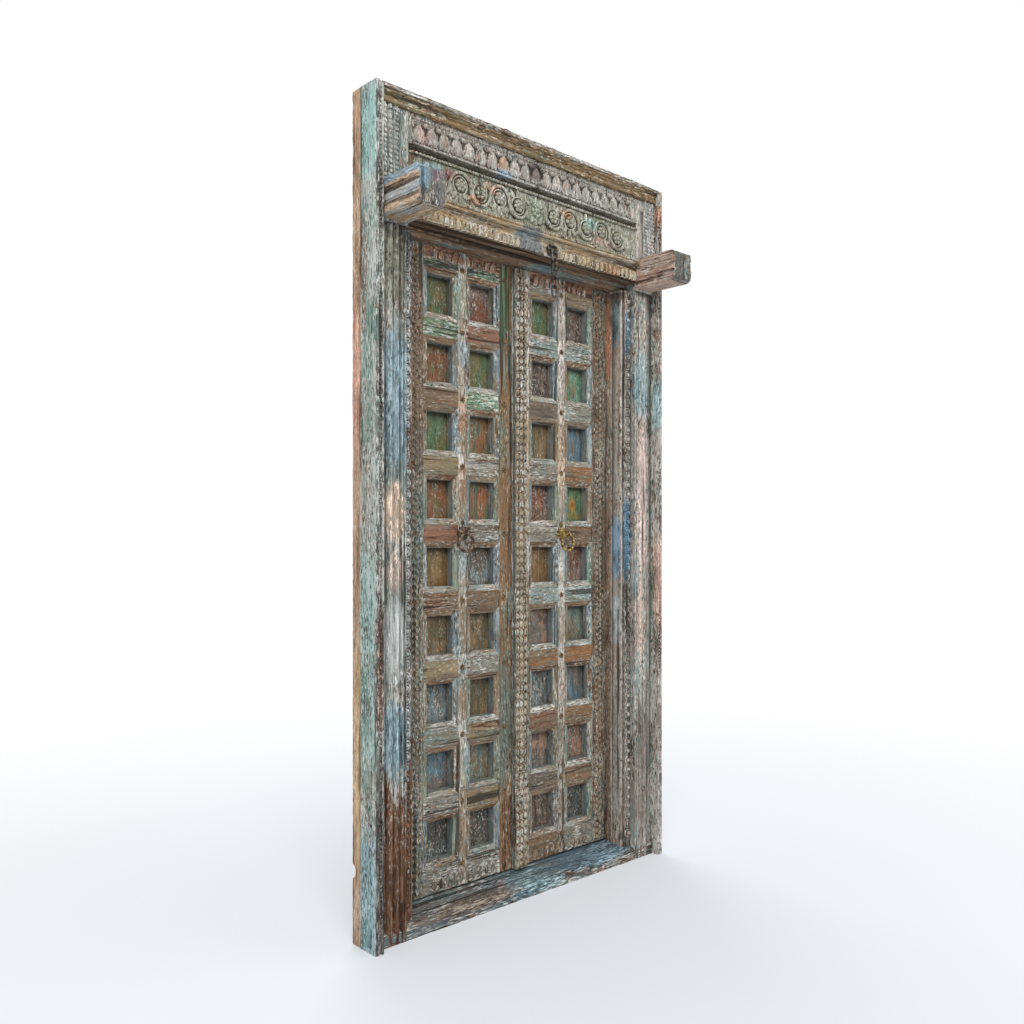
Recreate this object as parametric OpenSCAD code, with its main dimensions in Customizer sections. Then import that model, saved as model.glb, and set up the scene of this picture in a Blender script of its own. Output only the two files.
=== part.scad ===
// Carved temple door: two coffered leaves on wooden pivots in a carved frame.
// Millimetres. X runs along the width, Z is up and the front faces -Y.
// The origin is on the floor, at the middle of the width and of the frame's depth.

/* [Overall] */
// Width over the outer trims
door_w = 1150; // [960:2:1380]
// Height to the top of the cornice
door_h = 2204; // [1840:2:2640]
// Depth from the front of the trims to the back of the jambs
frame_d = 107; // [96:1:130]

/* [Outer trims and battens] */
// Width of each outer trim
trim_w = 25; // [20:1:30]
// Thickness of each outer trim
trim_d = 24; // [18:1:26]
// Width of each back batten
batten_w = 40; // [30:1:46]
// Thickness of each back batten
batten_d = 37; // [25:1:40]
// Height of the scoop in the left batten
batten_scoop_z = 190; // [120:5:400]
// Radius of the scoop in the left batten
batten_scoop_r = 20; // [14:1:26]

/* [Jambs] */
// Width of each jamb from its outer side to the doorway
jamb_w = 154; // [146:1:164]
// Width of each jamb's upper block
block_w = 115; // [105:1:125]
// Width of the inner bead beside the doorway
inner_bead_w = 13; // [11:1:15]
// Width of the carved pearl strip
strip_w = 26; // [22:1:30]
// Depth of the pearl strip from the front of the trims
strip_y = 47; // [42:1:50]
// Spacing of the pearls
pearl_pitch = 30; // [27:1:60]
// Radius of each pearl
pearl_r = 10; // [7:0.5:11]
// Height that a pearl stands out
pearl_rise = 4; // [2:0.5:6]
// Width of the flat with two thin beads
flat_w = 20; // [18:1:22]
// Depth of that flat from the front of the trims
flat_y = 28; // [26:1:34]
// Radius of the thin beads
thin_bead_r = 4; // [3:0.25:4.25]
// Radius of the two reeds
reed_r = 10; // [8:0.5:10.25]
// Spacing of the two reeds
reed_pitch = 21; // [21:0.5:23]
// Depth of the ground behind the reeds
ground_y = 34; // [32:1:38]
// Width of the stop bead in front of the leaf
stop_w = 8; // [5:1:10]
// Depth of the stop bead
stop_d = 19; // [12:1:24]
// Depth of the upper block from the front of the trims
block_y = 20; // [17:1:24]
// Radius of the beads on the upper block
block_bead_r = 7; // [5:0.5:8]
// Spacing of the beads on the upper block
block_bead_pitch = 18; // [17:0.5:19]

/* [Head] */
// Height of the cornice
cornice_h = 44; // [38:1:50]
// Height of the lintel
lintel_h = 73; // [66:1:82]
// Height of the inner head below the lintel
inner_head_h = 23; // [18:1:28]
// Depth of the lintel's face from the front of the trims
lintel_y = 16; // [14:1:20]
// Height of the row of petals
petal_h = 30; // [26:1:34]
// Radius of each petal
petal_r = 9; // [7:0.5:9.5]
// Spacing of the petals
petal_pitch = 20; // [20:0.5:24]
// Depth of the front of the inner head
inner_head_y = 60; // [54:1:66]
// Step of the inner head towards the leaf
inner_head_step = 15; // [10:1:20]
// Height of the lower frieze
lower_frieze_h = 102; // [100:1:104]
// Height of the groove between the friezes
groove_h = 18; // [14:1:22]
// Height of the upper frieze
upper_frieze_h = 82; // [78:1:86]
// Thickness of the frieze boards
frieze_d = 25; // [22:1:28]
// Height that the carving stands out
carving_rise = 6; // [4:0.5:8]
// Height of the fillets along the friezes
fillet_h = 6; // [4:0.5:7]
// Spacing of the upright leaves
leaf_pitch = 43; // [42:0.5:60]
// Height of each upright leaf
leaf_h = 50; // [44:1:54]
// Width of each upright leaf
leaf_w = 34; // [26:1:38]
// Spacing of the arcs of the vine
vine_pitch = 72; // [70:1:76]
// Width of the vine's stem
vine_w = 8; // [6:0.5:9]
// Radius of each flower of the vine
flower_r = 18; // [14:0.5:20]
// Radius of the middle rosette
rosette_r = 36; // [32:0.5:38]
// Depth that the cornice steps back below its top fillet
cornice_step = 12; // [9:1:16]

/* [Brackets] */
// Gap between a bracket and the outer trim
bracket_gap = 4; // [2:0.5:8]
// Height of each bracket
bracket_h = 98; // [84:1:104]
// Height of the bracket's underside above the inner head's
bracket_rise = 5; // [2:1:10]
// How far a bracket stands out in front of the trims
bracket_out = 136; // [90:1:160]
// Rounding of the bracket's long edges
bracket_round = 7; // [4:0.5:10]
// Rounding of the bracket's end
bracket_nose = 18; // [8:1:24]
// Radius of the grooves along the bracket
bracket_groove_r = 3; // [2:0.25:4]
// Width and height of the bracket's tenon
tenon_w = 40; // [30:1:50]
// Length of the bracket's tenon
tenon_l = 45; // [30:1:50]
// Clearance round the tenon
tenon_gap = 0.2; // [0.1:0.05:0.4]

/* [Threshold and pivot beam] */
// Depth of the threshold's front from the front of the trims
sill_y = 25; // [24:1:32]
// Height of the threshold's front edge
sill_front_z = 35; // [28:1:42]
// Height of the threshold's rear shelf
sill_z = 55; // [50:1:58]
// How far the shelf and the pivot beam reach behind the frame
rear_d = 72; // [70:1:84]
// How much shorter the shelf and the pivot beam are at each end than the frame
rear_in = 85; // [60:1:95]
// Gap between the leaves and the pivot beam
top_gap = 5; // [3:0.5:8]
// Height of the pivot beam
pivot_beam_h = 72; // [62:1:80]

/* [Leaves] */
// Gap between the frame's back and the leaves
leaf_gap = 2; // [1:0.25:4]
// Gap between the threshold's shelf and the leaves
floor_gap = 7; // [4:0.5:10]
// How far the leaves reach up behind the inner head
leaf_over = 24; // [16:0.5:30]
// Thickness of the lattice
lattice_d = 34; // [30:1:36]
// Thickness of the back planks
plank_d = 24; // [18:1:28]
// Distance of the pivots from the doorway's sides, towards the middle
pivot_in = 1; // [0:0.5:6]
// Radius of the pivot pins
pivot_r = 14; // [11:0.5:16]
// Length of the lower pivot pin
pivot_low_l = 30; // [22:1:36]
// Length of the upper pivot pin
pivot_top_l = 38; // [28:1:44]
// Clearance round the pivot pins
pivot_gap = 0.3; // [0.2:0.05:0.6]
// Place of the joint between the leaves
joint_x = -10.5; // [-14:0.5:-8]
// Gap of the joint between the leaves
joint_gap = 5; // [4:0.5:6]
// Inner edge of the inner openings
open_in = 77; // [74:0.5:80]
// Width of the muntin
muntin_w = 63; // [56:0.5:70]
// Width of the hinge stile that shows in the doorway
stile_show = 93; // [88:0.5:100]
// Height of the bottom rail
bottom_rail_h = 87; // [80:0.5:96]
// Height of the other rails
rail_h = 79.8; // [74:0.1:86]
// Height of the top rail that shows under the inner head
top_rail_show = 73; // [66:0.5:82]
// Width of the bevel round each opening
bevel_w = 16; // [12:0.5:17]
// Depth of the bevel round each opening
bevel_d = 6.5; // [4:0.5:12]
// Inner edge of the carved band on the hinge stile, from the opening
band_in = 24; // [20:1:28]
// Width of the carved band on the hinge stile
band_w = 46; // [36:1:50]
// Height that the carved bands stand out
band_rise = 2; // [1:0.25:2.5]
// Spacing of the points of those bands
edge_band_pitch = 24; // [22:0.5:30]
// Radius of the studs
stud_r = 8; // [6:0.5:8.5]
// Height of the studs
stud_h = 5; // [3:0.5:6]

/* [Astragal] */
// Width of the astragal
astragal_w = 49; // [44:1:52]
// Height that the astragal stands out
astragal_d = 15; // [11:1:17]
// How far the astragal reaches below the leaf
astragal_low = 2; // [0:0.5:3]
// Gap between the astragal and the inner head
astragal_gap = 4; // [2:0.5:8]
// Spacing of the notches across the astragal
notch_pitch = 24; // [20:1:48]
// Half the width of the notches' cutter across the astragal
notch_r = 3; // [2:0.25:4]

/* [Ring pulls] */
// Which rail carries the pulls, counted from the bottom
pull_rail = 6; // [5:1:7]
// Radius of the pull's boss
boss_r = 21; // [15:0.5:24]
// Height of the left pull's boss
left_boss_h = 8; // [6:0.5:12]
// Height of the right pull's boss
right_boss_h = 20; // [12:0.5:22]
// Thickness of the boss's rim
rim_h = 4; // [3:0.5:5]
// Height of the dome that caps the boss
cap_h = 5; // [4:0.5:5.5]
// Radius of the pull's eye
eye_r = 8; // [7:0.25:9]
// Radius of the eye's wire
eye_wire = 2.5; // [2:0.1:3]
// Radius of the ring
ring_r = 25.6; // [22:0.1:30]
// Radius of the ring's wire
ring_wire = 4.6; // [2.5:0.1:4.8]
// Clearance where rings and links hang
hang_gap = 0.3; // [0.2:0.05:0.5]

/* [Chain] */
// Place of the chain from the middle
chain_x = 60; // [30:1:90]
// Height of the staple above the lintel's underside
staple_rise = 21; // [19:1:25]
// Radius of the staple's plate
plate_r = 18; // [12:0.5:19]
// Thickness of the staple's plate
plate_h = 8; // [5:0.5:10]
// Radius of the staple's eye
staple_r = 8.5; // [8:0.25:9.5]
// Radius of the wire of the staple and the links
chain_wire = 3.2; // [2.6:0.1:3.4]
// Radius of the link's bends
link_r = 9; // [8:0.25:10]
// Length of the link's straight sides
link_side = 15; // [13:0.5:18]

/* [Hidden] */
$fn = 48;
half = door_w / 2;
reveal = half - jamb_w;
head_half = half - block_w;
strip_in = reveal + inner_bead_w;
flat_in = strip_in + strip_w;
reed_in = flat_in + flat_w;
trim_in = half - trim_w;
batten_in = half - batten_w;
batten_y = frame_d - batten_d;
rear_half = half - rear_in;
core_y = strip_y + 11;
cornice_z = door_h - cornice_h;
upper_frieze_z = cornice_z - upper_frieze_h;
lower_frieze_top = upper_frieze_z - groove_h;
lintel_top = lower_frieze_top - lower_frieze_h;
lintel_z = lintel_top - lintel_h;
inner_head_z = lintel_z - inner_head_h;
frieze_y = block_y;
head_beam_y = frieze_y + frieze_d;
bracket_in = head_half;
bracket_out_x = trim_in - bracket_gap;
bracket_mid = (bracket_in + bracket_out_x) / 2;
bracket_z = inner_head_z + bracket_rise;
bracket_top = bracket_z + bracket_h;
leaf_y = frame_d + leaf_gap;
lattice_back = leaf_y + lattice_d;
leaf_back = lattice_back + plank_d;
leaf_mid_y = (leaf_y + leaf_back) / 2;
edge_r = (leaf_back - leaf_y) / 2;
lap_y = leaf_y + lattice_d / 2;
leaf_z = sill_z + floor_gap;
leaf_top = inner_head_z + leaf_over;
pivot_beam_z = leaf_top + top_gap;
pivot_x = reveal - pivot_in;
stile_in = reveal - stile_show;
open_w = (stile_in - open_in - muntin_w) / 2;
muntin_in = open_in + open_w;
muntin_out = muntin_in + muntin_w;
muntin_mid = (muntin_in + muntin_out) / 2;
rows = 9;
open_z = leaf_z + bottom_rail_h;
open_h = (inner_head_z - top_rail_show - open_z - (rows - 1) * rail_h) / rows;
row_pitch = open_h + rail_h;
band_x = stile_in + band_in;
socket_r = pivot_r + pivot_gap;
pull_z = open_z + (pull_rail - 1) * row_pitch - rail_h / 2;
ring_z = pull_z - eye_r + eye_wire + ring_wire + hang_gap;
staple_z = lintel_z + staple_rise;
staple_y = lintel_y - plate_h - staple_r;
link_l = link_side + 2 * link_r;
link_step = link_l - 2 * chain_wire - hang_gap;
link_z = staple_z - staple_r + 2 * chain_wire + hang_gap;
astragal_z = leaf_z - astragal_low;
astragal_top = inner_head_z - astragal_gap;

// Placing helpers

// Moves depths counted from the front of the trims to the middle of the frame
module placed() {
  translate([0, -frame_d / 2, 0]) children();
}

// Right side as drawn, left side mirrored
module sided(side) {
  if (side < 0) mirror([1, 0, 0]) children();
  else children();
}

// Runs a section of depth and height along X
module along_x(x0, x1) {
  translate([x0, 0, 0]) rotate([90, 0, 90]) linear_extrude(x1 - x0) children();
}

// Runs an outline of width and height along the depth
module along_y(y0, y1) {
  translate([0, y1, 0]) rotate([90, 0, 0]) linear_extrude(y1 - y0) children();
}

// Runs a section of width and depth upwards
module along_z(z0, z1) {
  translate([0, 0, z0]) linear_extrude(z1 - z0) children();
}

// Rectangle between two corners
module span(a0, a1, b0, b1) {
  translate([a0, b0]) square([a1 - a0, b1 - b0]);
}

// Box between two corners
module block(x0, x1, y0, y1, z0, z1) {
  translate([x0, y0, z0]) cube([x1 - x0, y1 - y0, z1 - z0]);
}

// Low dome on a face, facing the front
module dome(r, h) {
  ball = (r * r + h * h) / (2 * h);
  intersection() {
    translate([0, ball - h, 0]) sphere(ball);
    rotate([90, 0, 0]) cylinder(h = h + 1, r = r + 1);
  }
}

// Frame

// Section of the reeded part of a jamb
module jamb_section() {
  difference() {
    union() {
      span(reveal, half, core_y, frame_d);
      span(strip_in, flat_in, strip_y, core_y + 1);
      span(flat_in, reed_in, flat_y, core_y + 1);
      span(reed_in, half, ground_y, core_y + 1);
      span(trim_in, half, trim_d, core_y + 1);
    }
    span(batten_in, half + 1, batten_y, frame_d + 1);
  }
  span(reveal - stop_w, reveal + 1, frame_d - stop_d, frame_d);
  translate([reveal + inner_bead_w / 2, core_y]) circle(inner_bead_w / 2 - 0.5);
  for (i = [1, 3]) translate([flat_in + i * flat_w / 4, flat_y]) circle(thin_bead_r);
  for (i = [0, 1]) translate([reed_in + reed_r + 1 + i * reed_pitch, ground_y]) circle(reed_r);
}

// Section of the block above the bracket
module block_section() {
  difference() {
    span(head_half, half, block_y, frame_d);
    span(batten_in, half + 1, batten_y, frame_d + 1);
    span(trim_in, half + 1, block_y - 1, trim_d);
  }
}

// Plan of what lies between the trims and between the battens, from a given depth
module between_plan(front) {
  span(-trim_in, trim_in, front, batten_y);
  span(-batten_in, batten_in, batten_y - 1, frame_d);
}

// Plan of the threshold
module threshold_plan() {
  between_plan(sill_y);
  span(-rear_half, rear_half, frame_d - 1, frame_d + rear_d);
}

// Section of the threshold with its sloping tread
module threshold_section() {
  polygon([[sill_y, 0], [sill_y, sill_front_z - 8], [sill_y + 6, sill_front_z],
    [frame_d, sill_z], [frame_d + rear_d, sill_z], [frame_d + rear_d, 0]]);
}

// Whole threshold before the sockets are bored
module threshold_solid() {
  intersection() {
    along_z(0, sill_z + 1) threshold_plan();
    along_x(-trim_in, trim_in) threshold_section();
  }
}

module jamb(side) {
  color("SlateGray") placed() sided(side) difference() {
    union() {
      along_z(0, inner_head_z) jamb_section();
      along_z(inner_head_z - 1, cornice_z) block_section();
      along_z(cornice_z - 1, door_h) span(trim_in, half, trim_d, batten_y);
      for (z = [sill_z + pearl_pitch : pearl_pitch : inner_head_z - pearl_pitch / 2])
        translate([strip_in + strip_w / 2, strip_y, z]) dome(pearl_r, pearl_rise);
      for (i = [0 : 2])
        translate([trim_in - 12 - i * block_bead_pitch, block_y, bracket_top])
          cylinder(h = cornice_z - bracket_top, r = block_bead_r);
    }
    threshold_solid();
    block(bracket_mid - tenon_w / 2 - tenon_gap, bracket_mid + tenon_w / 2 + tenon_gap,
      block_y - 1, block_y + tenon_l + tenon_gap,
      bracket_z + (bracket_h - tenon_w) / 2 - tenon_gap,
      bracket_z + (bracket_h + tenon_w) / 2 + tenon_gap);
    block(reveal - stop_w - 1, trim_in, -1, block_y, inner_head_z, bracket_top);
  }
}
module left_jamb() { jamb(-1); }
module right_jamb() { jamb(1); }

module outer_trim(side) {
  color("DarkSeaGreen") placed() sided(side) along_z(0, door_h) {
    span(trim_in, half, 5, trim_d);
    span(trim_in, trim_in + 6, 0, 6);
    translate([half - 7.5, 7]) circle(7);
  }
}
module left_outer_trim() { outer_trim(-1); }
module right_outer_trim() { outer_trim(1); }

module back_batten(side) {
  color("BurlyWood") placed() sided(side) difference() {
    along_z(0, door_h) span(batten_in, half, batten_y, frame_d);
    if (side < 0)
      translate([batten_in - 1, frame_d + batten_scoop_r * 0.4, batten_scoop_z])
        rotate([0, 90, 0]) cylinder(h = batten_w + 2, r = batten_scoop_r);
  }
}
module left_back_batten() { back_batten(-1); }
module right_back_batten() { back_batten(1); }

module cornice() {
  color("SaddleBrown") placed() intersection() {
    along_x(-trim_in, trim_in) difference() {
      union() {
        span(0, frame_d, door_h - 11, door_h);
        span(3, frame_d, door_h - 26, door_h - 10);
        span(cornice_step, frame_d, cornice_z, door_h - 25);
        translate([cornice_step + 1, cornice_z + 5]) circle(4.5);
      }
      translate([2, door_h - 26]) circle(8);
    }
    along_z(cornice_z - 1, door_h + 1) between_plan(-1);
  }
}

// Upright leaf made of two arcs
module upright_leaf() {
  bow = (leaf_h * leaf_h / 4 + leaf_w * leaf_w / 4) / leaf_w;
  intersection() {
    translate([bow - leaf_w / 2, 0]) circle(bow);
    translate([leaf_w / 2 - bow, 0]) circle(bow);
  }
}

module upper_frieze() {
  n = floor((head_half - leaf_w / 2 - 2) / leaf_pitch);
  leaf_mid = upper_frieze_z + fillet_h + 1 + leaf_h / 2;
  color("Silver") placed() {
    along_y(frieze_y, frieze_y + frieze_d)
      span(-head_half, head_half, upper_frieze_z, cornice_z);
    along_y(frieze_y - carving_rise, frieze_y + 1) {
      span(-head_half, head_half, upper_frieze_z, upper_frieze_z + fillet_h);
      for (i = [-n : n]) translate([i * leaf_pitch, leaf_mid]) difference() {
        upright_leaf();
        translate([-1.5, -leaf_h / 4]) square([3, leaf_h / 2]);
      }
      for (i = [-n : n - 1])
        translate([(i + 0.5) * leaf_pitch, leaf_mid + leaf_h / 2]) circle(7);
    }
  }
}

// Flower with petals round a middle
module flower(r, petals) {
  circle(r * 0.42);
  for (i = [0 : petals - 1]) rotate(i * 360 / petals)
    translate([r * 0.66, 0]) circle(r * 0.3);
}

module lower_frieze() {
  mid = lintel_top + lower_frieze_h / 2;
  arcs = floor((head_half - rosette_r - vine_pitch / 2) / vine_pitch);
  color("Gainsboro") placed() {
    along_y(frieze_y, frieze_y + frieze_d)
      span(-head_half, head_half, lintel_top, lower_frieze_top);
    along_y(frieze_y - carving_rise, frieze_y + 1) {
      span(-head_half, head_half, lintel_top, lintel_top + fillet_h);
      span(-head_half, head_half, lower_frieze_top - fillet_h, lower_frieze_top);
      translate([0, mid]) flower(rosette_r, 8);
      for (s = [-1, 1], i = [1 : arcs])
        translate([s * (rosette_r + (i - 0.5) * vine_pitch), mid]) {
          up = i % 2 == 0 ? 1 : -1;
          stem = up > 0 ? vine_w : vine_w + 1.5;
          intersection() {
            difference() {
              circle((vine_pitch + stem) / 2);
              circle((vine_pitch - stem) / 2);
            }
            translate([-vine_pitch, up > 0 ? -1 : 1 - vine_pitch])
              square([2 * vine_pitch, vine_pitch]);
          }
          translate([0, up * 2]) flower(flower_r, 6);
        }
    }
  }
}

module head_beam() {
  color("Peru") placed() block(-head_half, head_half, head_beam_y, frame_d,
    lintel_top, cornice_z);
}

module lintel_beam() {
  n = floor((head_half - petal_r - 1) / petal_pitch);
  cove_z = lintel_z + petal_h + 3;
  color("Tan") placed() {
    along_x(-head_half, head_half) difference() {
      union() {
        span(lintel_y, frame_d, lintel_z, lintel_top);
        span(lintel_y - 9, lintel_y + 1, lintel_top - 20, lintel_top - 1);
        for (i = [0, 1])
          translate([lintel_y - 9, lintel_top - 15 + i * 9]) circle(4);
      }
      translate([lintel_y - 4, cove_z + 8]) circle(10);
    }
    along_z(lintel_z + 1, lintel_z + 1 + petal_h) for (i = [-n : n])
      if (abs(i * petal_pitch - chain_x) > petal_r + plate_r)
        translate([i * petal_pitch, lintel_y]) circle(petal_r);
  }
}

module inner_head() {
  color("CadetBlue") placed() along_x(-head_half, head_half)
    polygon([[inner_head_y, lintel_z], [inner_head_y, lintel_z - 12],
      [inner_head_y + inner_head_step, lintel_z - 12],
      [inner_head_y + inner_head_step, inner_head_z],
      [frame_d, inner_head_z], [frame_d, lintel_z]]);
}

// Square with rounded corners between two corners
module soft_span(a0, a1, b0, b1, r) {
  span(a0 + r, a1 - r, b0, b1);
  span(a0, a1, b0 + r, b1 - r);
  for (a = [a0 + r, a1 - r], b = [b0 + r, b1 - r]) translate([a, b]) circle(r);
}

module bracket(side) {
  out = bracket_out_x;
  color("IndianRed") placed() sided(side) {
    difference() {
      intersection() {
        along_y(-bracket_out, block_y)
          soft_span(bracket_in, out, bracket_z, bracket_top, bracket_round);
        along_x(bracket_in, out)
          soft_span(-bracket_out, block_y + 2 * bracket_nose, bracket_z, bracket_top,
            bracket_nose);
      }
      for (x = [bracket_in, out], i = [1, 2])
        translate([x, block_y + 1, bracket_z + i * bracket_h / 3]) rotate([90, 0, 0])
          cylinder(h = bracket_out + block_y + 2, r = bracket_groove_r);
    }
    block(bracket_mid - tenon_w / 2, bracket_mid + tenon_w / 2, block_y - 1,
      block_y + tenon_l, bracket_z + (bracket_h - tenon_w) / 2,
      bracket_z + (bracket_h + tenon_w) / 2);
  }
}
module left_bracket() { bracket(-1); }
module right_bracket() { bracket(1); }

module threshold() {
  color("LightSlateGray") placed() difference() {
    threshold_solid();
    for (s = [-1, 1])
      translate([s * pivot_x, leaf_mid_y, leaf_z - pivot_low_l - pivot_gap])
        cylinder(h = sill_z, r = socket_r);
  }
}

module pivot_beam() {
  color("Sienna") placed() difference() {
    block(-rear_half, rear_half, frame_d, frame_d + rear_d,
      pivot_beam_z, pivot_beam_z + pivot_beam_h);
    for (s = [-1, 1]) translate([s * pivot_x, leaf_mid_y, pivot_beam_z - 1])
      cylinder(h = leaf_top + pivot_top_l + pivot_gap * 10 - pivot_beam_z + 1, r = socket_r);
  }
}

// Ring of round wire about X
module wire_ring(r, wire) {
  rotate([0, 90, 0]) rotate_extrude() translate([r, 0]) circle(wire);
}

module chain_staple() {
  color("DimGray") placed() translate([chain_x, 0, staple_z]) {
    translate([0, lintel_y, 0]) rotate([90, 0, 0]) cylinder(h = plate_h, r = plate_r);
    translate([0, staple_y, 0]) wire_ring(staple_r, chain_wire, $fn = 72);
  }
}

// Leaves

// Inner edge of a leaf, counted from the middle towards its own side
function meet(side) = side < 0 ? joint_gap / 2 - joint_x : joint_gap / 2 + joint_x;

// Bottom and top of a rail, counted from the bottom
function rail_z0(i) = i == 1 ? leaf_z : open_z + (i - 1) * row_pitch - rail_h;
function rail_z1(i) = i == rows + 1 ? leaf_top : open_z + (i - 1) * row_pitch;

// Height of the studs on a rail
function stud_z(i) = i == 1 ? open_z - bevel_w - stud_r - 2
  : i == rows + 1 ? rail_z0(i) + bevel_w + stud_r + 2
  : (rail_z0(i) + rail_z1(i)) / 2;

// Section of a rail, bevelled on the sides that face an opening
module rail_section(i) {
  z0 = rail_z0(i);
  z1 = rail_z1(i);
  low = i == 1 ? 0 : bevel_w;
  high = i == rows + 1 ? 0 : bevel_w;
  polygon([[lattice_back, z0], [leaf_y + (low > 0 ? bevel_d : 0), z0], [leaf_y, z0 + low],
    [leaf_y, z1 - high], [leaf_y + (high > 0 ? bevel_d : 0), z1], [lattice_back, z1]]);
}

// Rail over its whole length, let into the bevels of both stiles
module rail_bar(i) {
  along_x(open_in - bevel_w, stile_in + bevel_w) rail_section(i);
}

// Section of the muntin
module muntin_section() {
  polygon([[muntin_in, lattice_back], [muntin_in, leaf_y + bevel_d],
    [muntin_in + bevel_w, leaf_y], [muntin_out - bevel_w, leaf_y],
    [muntin_out, leaf_y + bevel_d], [muntin_out, lattice_back]]);
}

module rail(side, i) {
  color("Olive") placed() sided(side) difference() {
    union() {
      rail_bar(i);
      along_z(rail_z0(i), rail_z1(i)) intersection() {
        muntin_section();
        span(muntin_in, muntin_out, leaf_y, lap_y);
      }
      if (i == 1 || i == rows + 1) edge_band(i);
    }
    block(muntin_in, muntin_out, lap_y, lattice_back + 1, rail_z0(i) - 1, rail_z1(i) + 1);
  }
}

// Carved row of points on the bottom and top rail
module edge_band(i) {
  z0 = i == 1 ? leaf_z + 2 : stud_z(i) + stud_r + 3;
  band_h = i == 1 ? stud_z(i) - stud_r - 8 - z0 : inner_head_z - 2 - z0;
  n = floor((stile_in - open_in) / edge_band_pitch);
  along_y(leaf_y - band_rise, leaf_y + 1) for (k = [0 : n - 1])
    translate([open_in + (k + 0.5) * edge_band_pitch, z0]) polygon([[1 - edge_band_pitch / 2, 0],
      [edge_band_pitch / 2 - 1, 0], [edge_band_pitch / 2 - 1, band_h / 2],
      [0, band_h], [1 - edge_band_pitch / 2, band_h / 2]]);
}

module muntin(side) {
  color("DarkKhaki") placed() sided(side) difference() {
    along_z(leaf_z, leaf_top) muntin_section();
    for (i = [1 : rows + 1])
      block(muntin_in - 1, muntin_out + 1, leaf_y - 1, lap_y, rail_z0(i), rail_z1(i));
  }
}
module left_muntin() { muntin(-1); }
module right_muntin() { muntin(1); }

module hinge_stile(side) {
  color("OliveDrab") placed() sided(side) {
    difference() {
      along_z(leaf_z, leaf_top) {
        polygon([[stile_in, leaf_back], [stile_in, leaf_y + bevel_d],
          [stile_in + bevel_w, leaf_y], [pivot_x, leaf_y], [pivot_x, leaf_back]]);
        translate([pivot_x, leaf_mid_y]) circle(edge_r);
      }
      for (i = [1 : rows + 1]) rail_bar(i);
    }
    for (x = [band_x, band_x + band_w - 5])
      block(x, x + 5, leaf_y - band_rise, leaf_y + 1, leaf_z + 2, inner_head_z - 2);
    translate([pivot_x, leaf_mid_y, leaf_z - pivot_low_l])
      cylinder(h = leaf_top - leaf_z + pivot_low_l + pivot_top_l, r = pivot_r);
  }
}
module left_hinge_stile() { hinge_stile(-1); }
module right_hinge_stile() { hinge_stile(1); }

module meeting_stile(side) {
  color("DarkOliveGreen") placed() sided(side) difference() {
    along_z(leaf_z, leaf_top)
      polygon([[meet(side), lattice_back], [meet(side), leaf_y], [open_in - bevel_w, leaf_y],
        [open_in, leaf_y + bevel_d], [open_in, lattice_back]]);
    for (i = [1 : rows + 1]) rail_bar(i);
  }
}
module left_meeting_stile() { meeting_stile(-1); }
module right_meeting_stile() { meeting_stile(1); }

module outer_plank(side) {
  color("Chocolate") placed() sided(side)
    block(muntin_mid, stile_in, lattice_back, leaf_back, leaf_z, leaf_top);
}
module left_outer_plank() { outer_plank(-1); }
module right_outer_plank() { outer_plank(1); }

module inner_plank(side) {
  color("Sienna") placed() sided(side)
    block(meet(side), muntin_mid, lattice_back, leaf_back, leaf_z, leaf_top);
}
module left_inner_plank() { inner_plank(-1); }
module right_inner_plank() { inner_plank(1); }

module studs(side) {
  meet_x = side < 0 ? (meet(side) + open_in - bevel_w) / 2 + 4
    : meet(side) + astragal_w + stud_r + 2;
  color("DarkGoldenrod") placed() sided(side) for (i = [1 : rows + 1]) {
    translate([meet_x, leaf_y, stud_z(i)]) dome(stud_r, stud_h, $fn = 72);
    if (i != pull_rail) translate([muntin_mid, leaf_y, stud_z(i)]) dome(stud_r, stud_h, $fn = 72);
    translate([band_x + band_w / 2, leaf_y, stud_z(i)]) dome(stud_r, stud_h, $fn = 72);
  }
}
module left_studs() { studs(-1); }
module right_studs() { studs(1); }

// Height of a pull's boss and depth of its eye
function boss_h(side) = side < 0 ? left_boss_h : right_boss_h;
function eye_y(side) = leaf_y - boss_h(side) - eye_r;

module pull_boss(side) {
  placed() sided(side) translate([muntin_mid, 0, pull_z]) {
    translate([0, leaf_y, 0]) rotate([90, 0, 0]) cylinder(h = rim_h, r = boss_r);
    translate([0, leaf_y, 0]) rotate([90, 0, 0])
      cylinder(h = boss_h(side) - cap_h, r = boss_r - 4);
    translate([0, leaf_y - boss_h(side) + cap_h, 0]) dome(boss_r - 4, cap_h, $fn = 72);
    translate([0, eye_y(side), 0]) wire_ring(eye_r, eye_wire, $fn = 72);
  }
}
module left_pull_boss() { color("DimGray") pull_boss(-1); }
module right_pull_boss() { color("Goldenrod") pull_boss(1); }

module pull_ring(side) {
  placed() sided(side) translate([muntin_mid, eye_y(side), ring_z - ring_r]) rotate([90, 0, 0])
    rotate_extrude() translate([ring_r, 0]) circle(ring_wire);
}
module left_pull_ring() { color("DimGray") pull_ring(-1); }
module right_pull_ring() { color("Goldenrod") pull_ring(1); }

module astragal() {
  x0 = meet(1);
  lobe = astragal_w / 3;
  front = leaf_y - astragal_d;
  color("Wheat") placed() difference() {
    along_z(astragal_z, astragal_top) {
      span(x0, x0 + astragal_w, front + 5, leaf_y);
      for (i = [0 : 2]) translate([x0 + (i + 0.5) * lobe, front + 7]) circle(lobe / 2 - 0.6);
    }
    for (z = [astragal_z + notch_pitch : notch_pitch : astragal_top - notch_pitch / 2])
      translate([x0 - 1, front, z]) rotate([45, 0, 0]) translate([0, -notch_r, -notch_r])
        cube([astragal_w + 2, 2 * notch_r, 2 * notch_r]);
  }
}

// Chain

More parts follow.
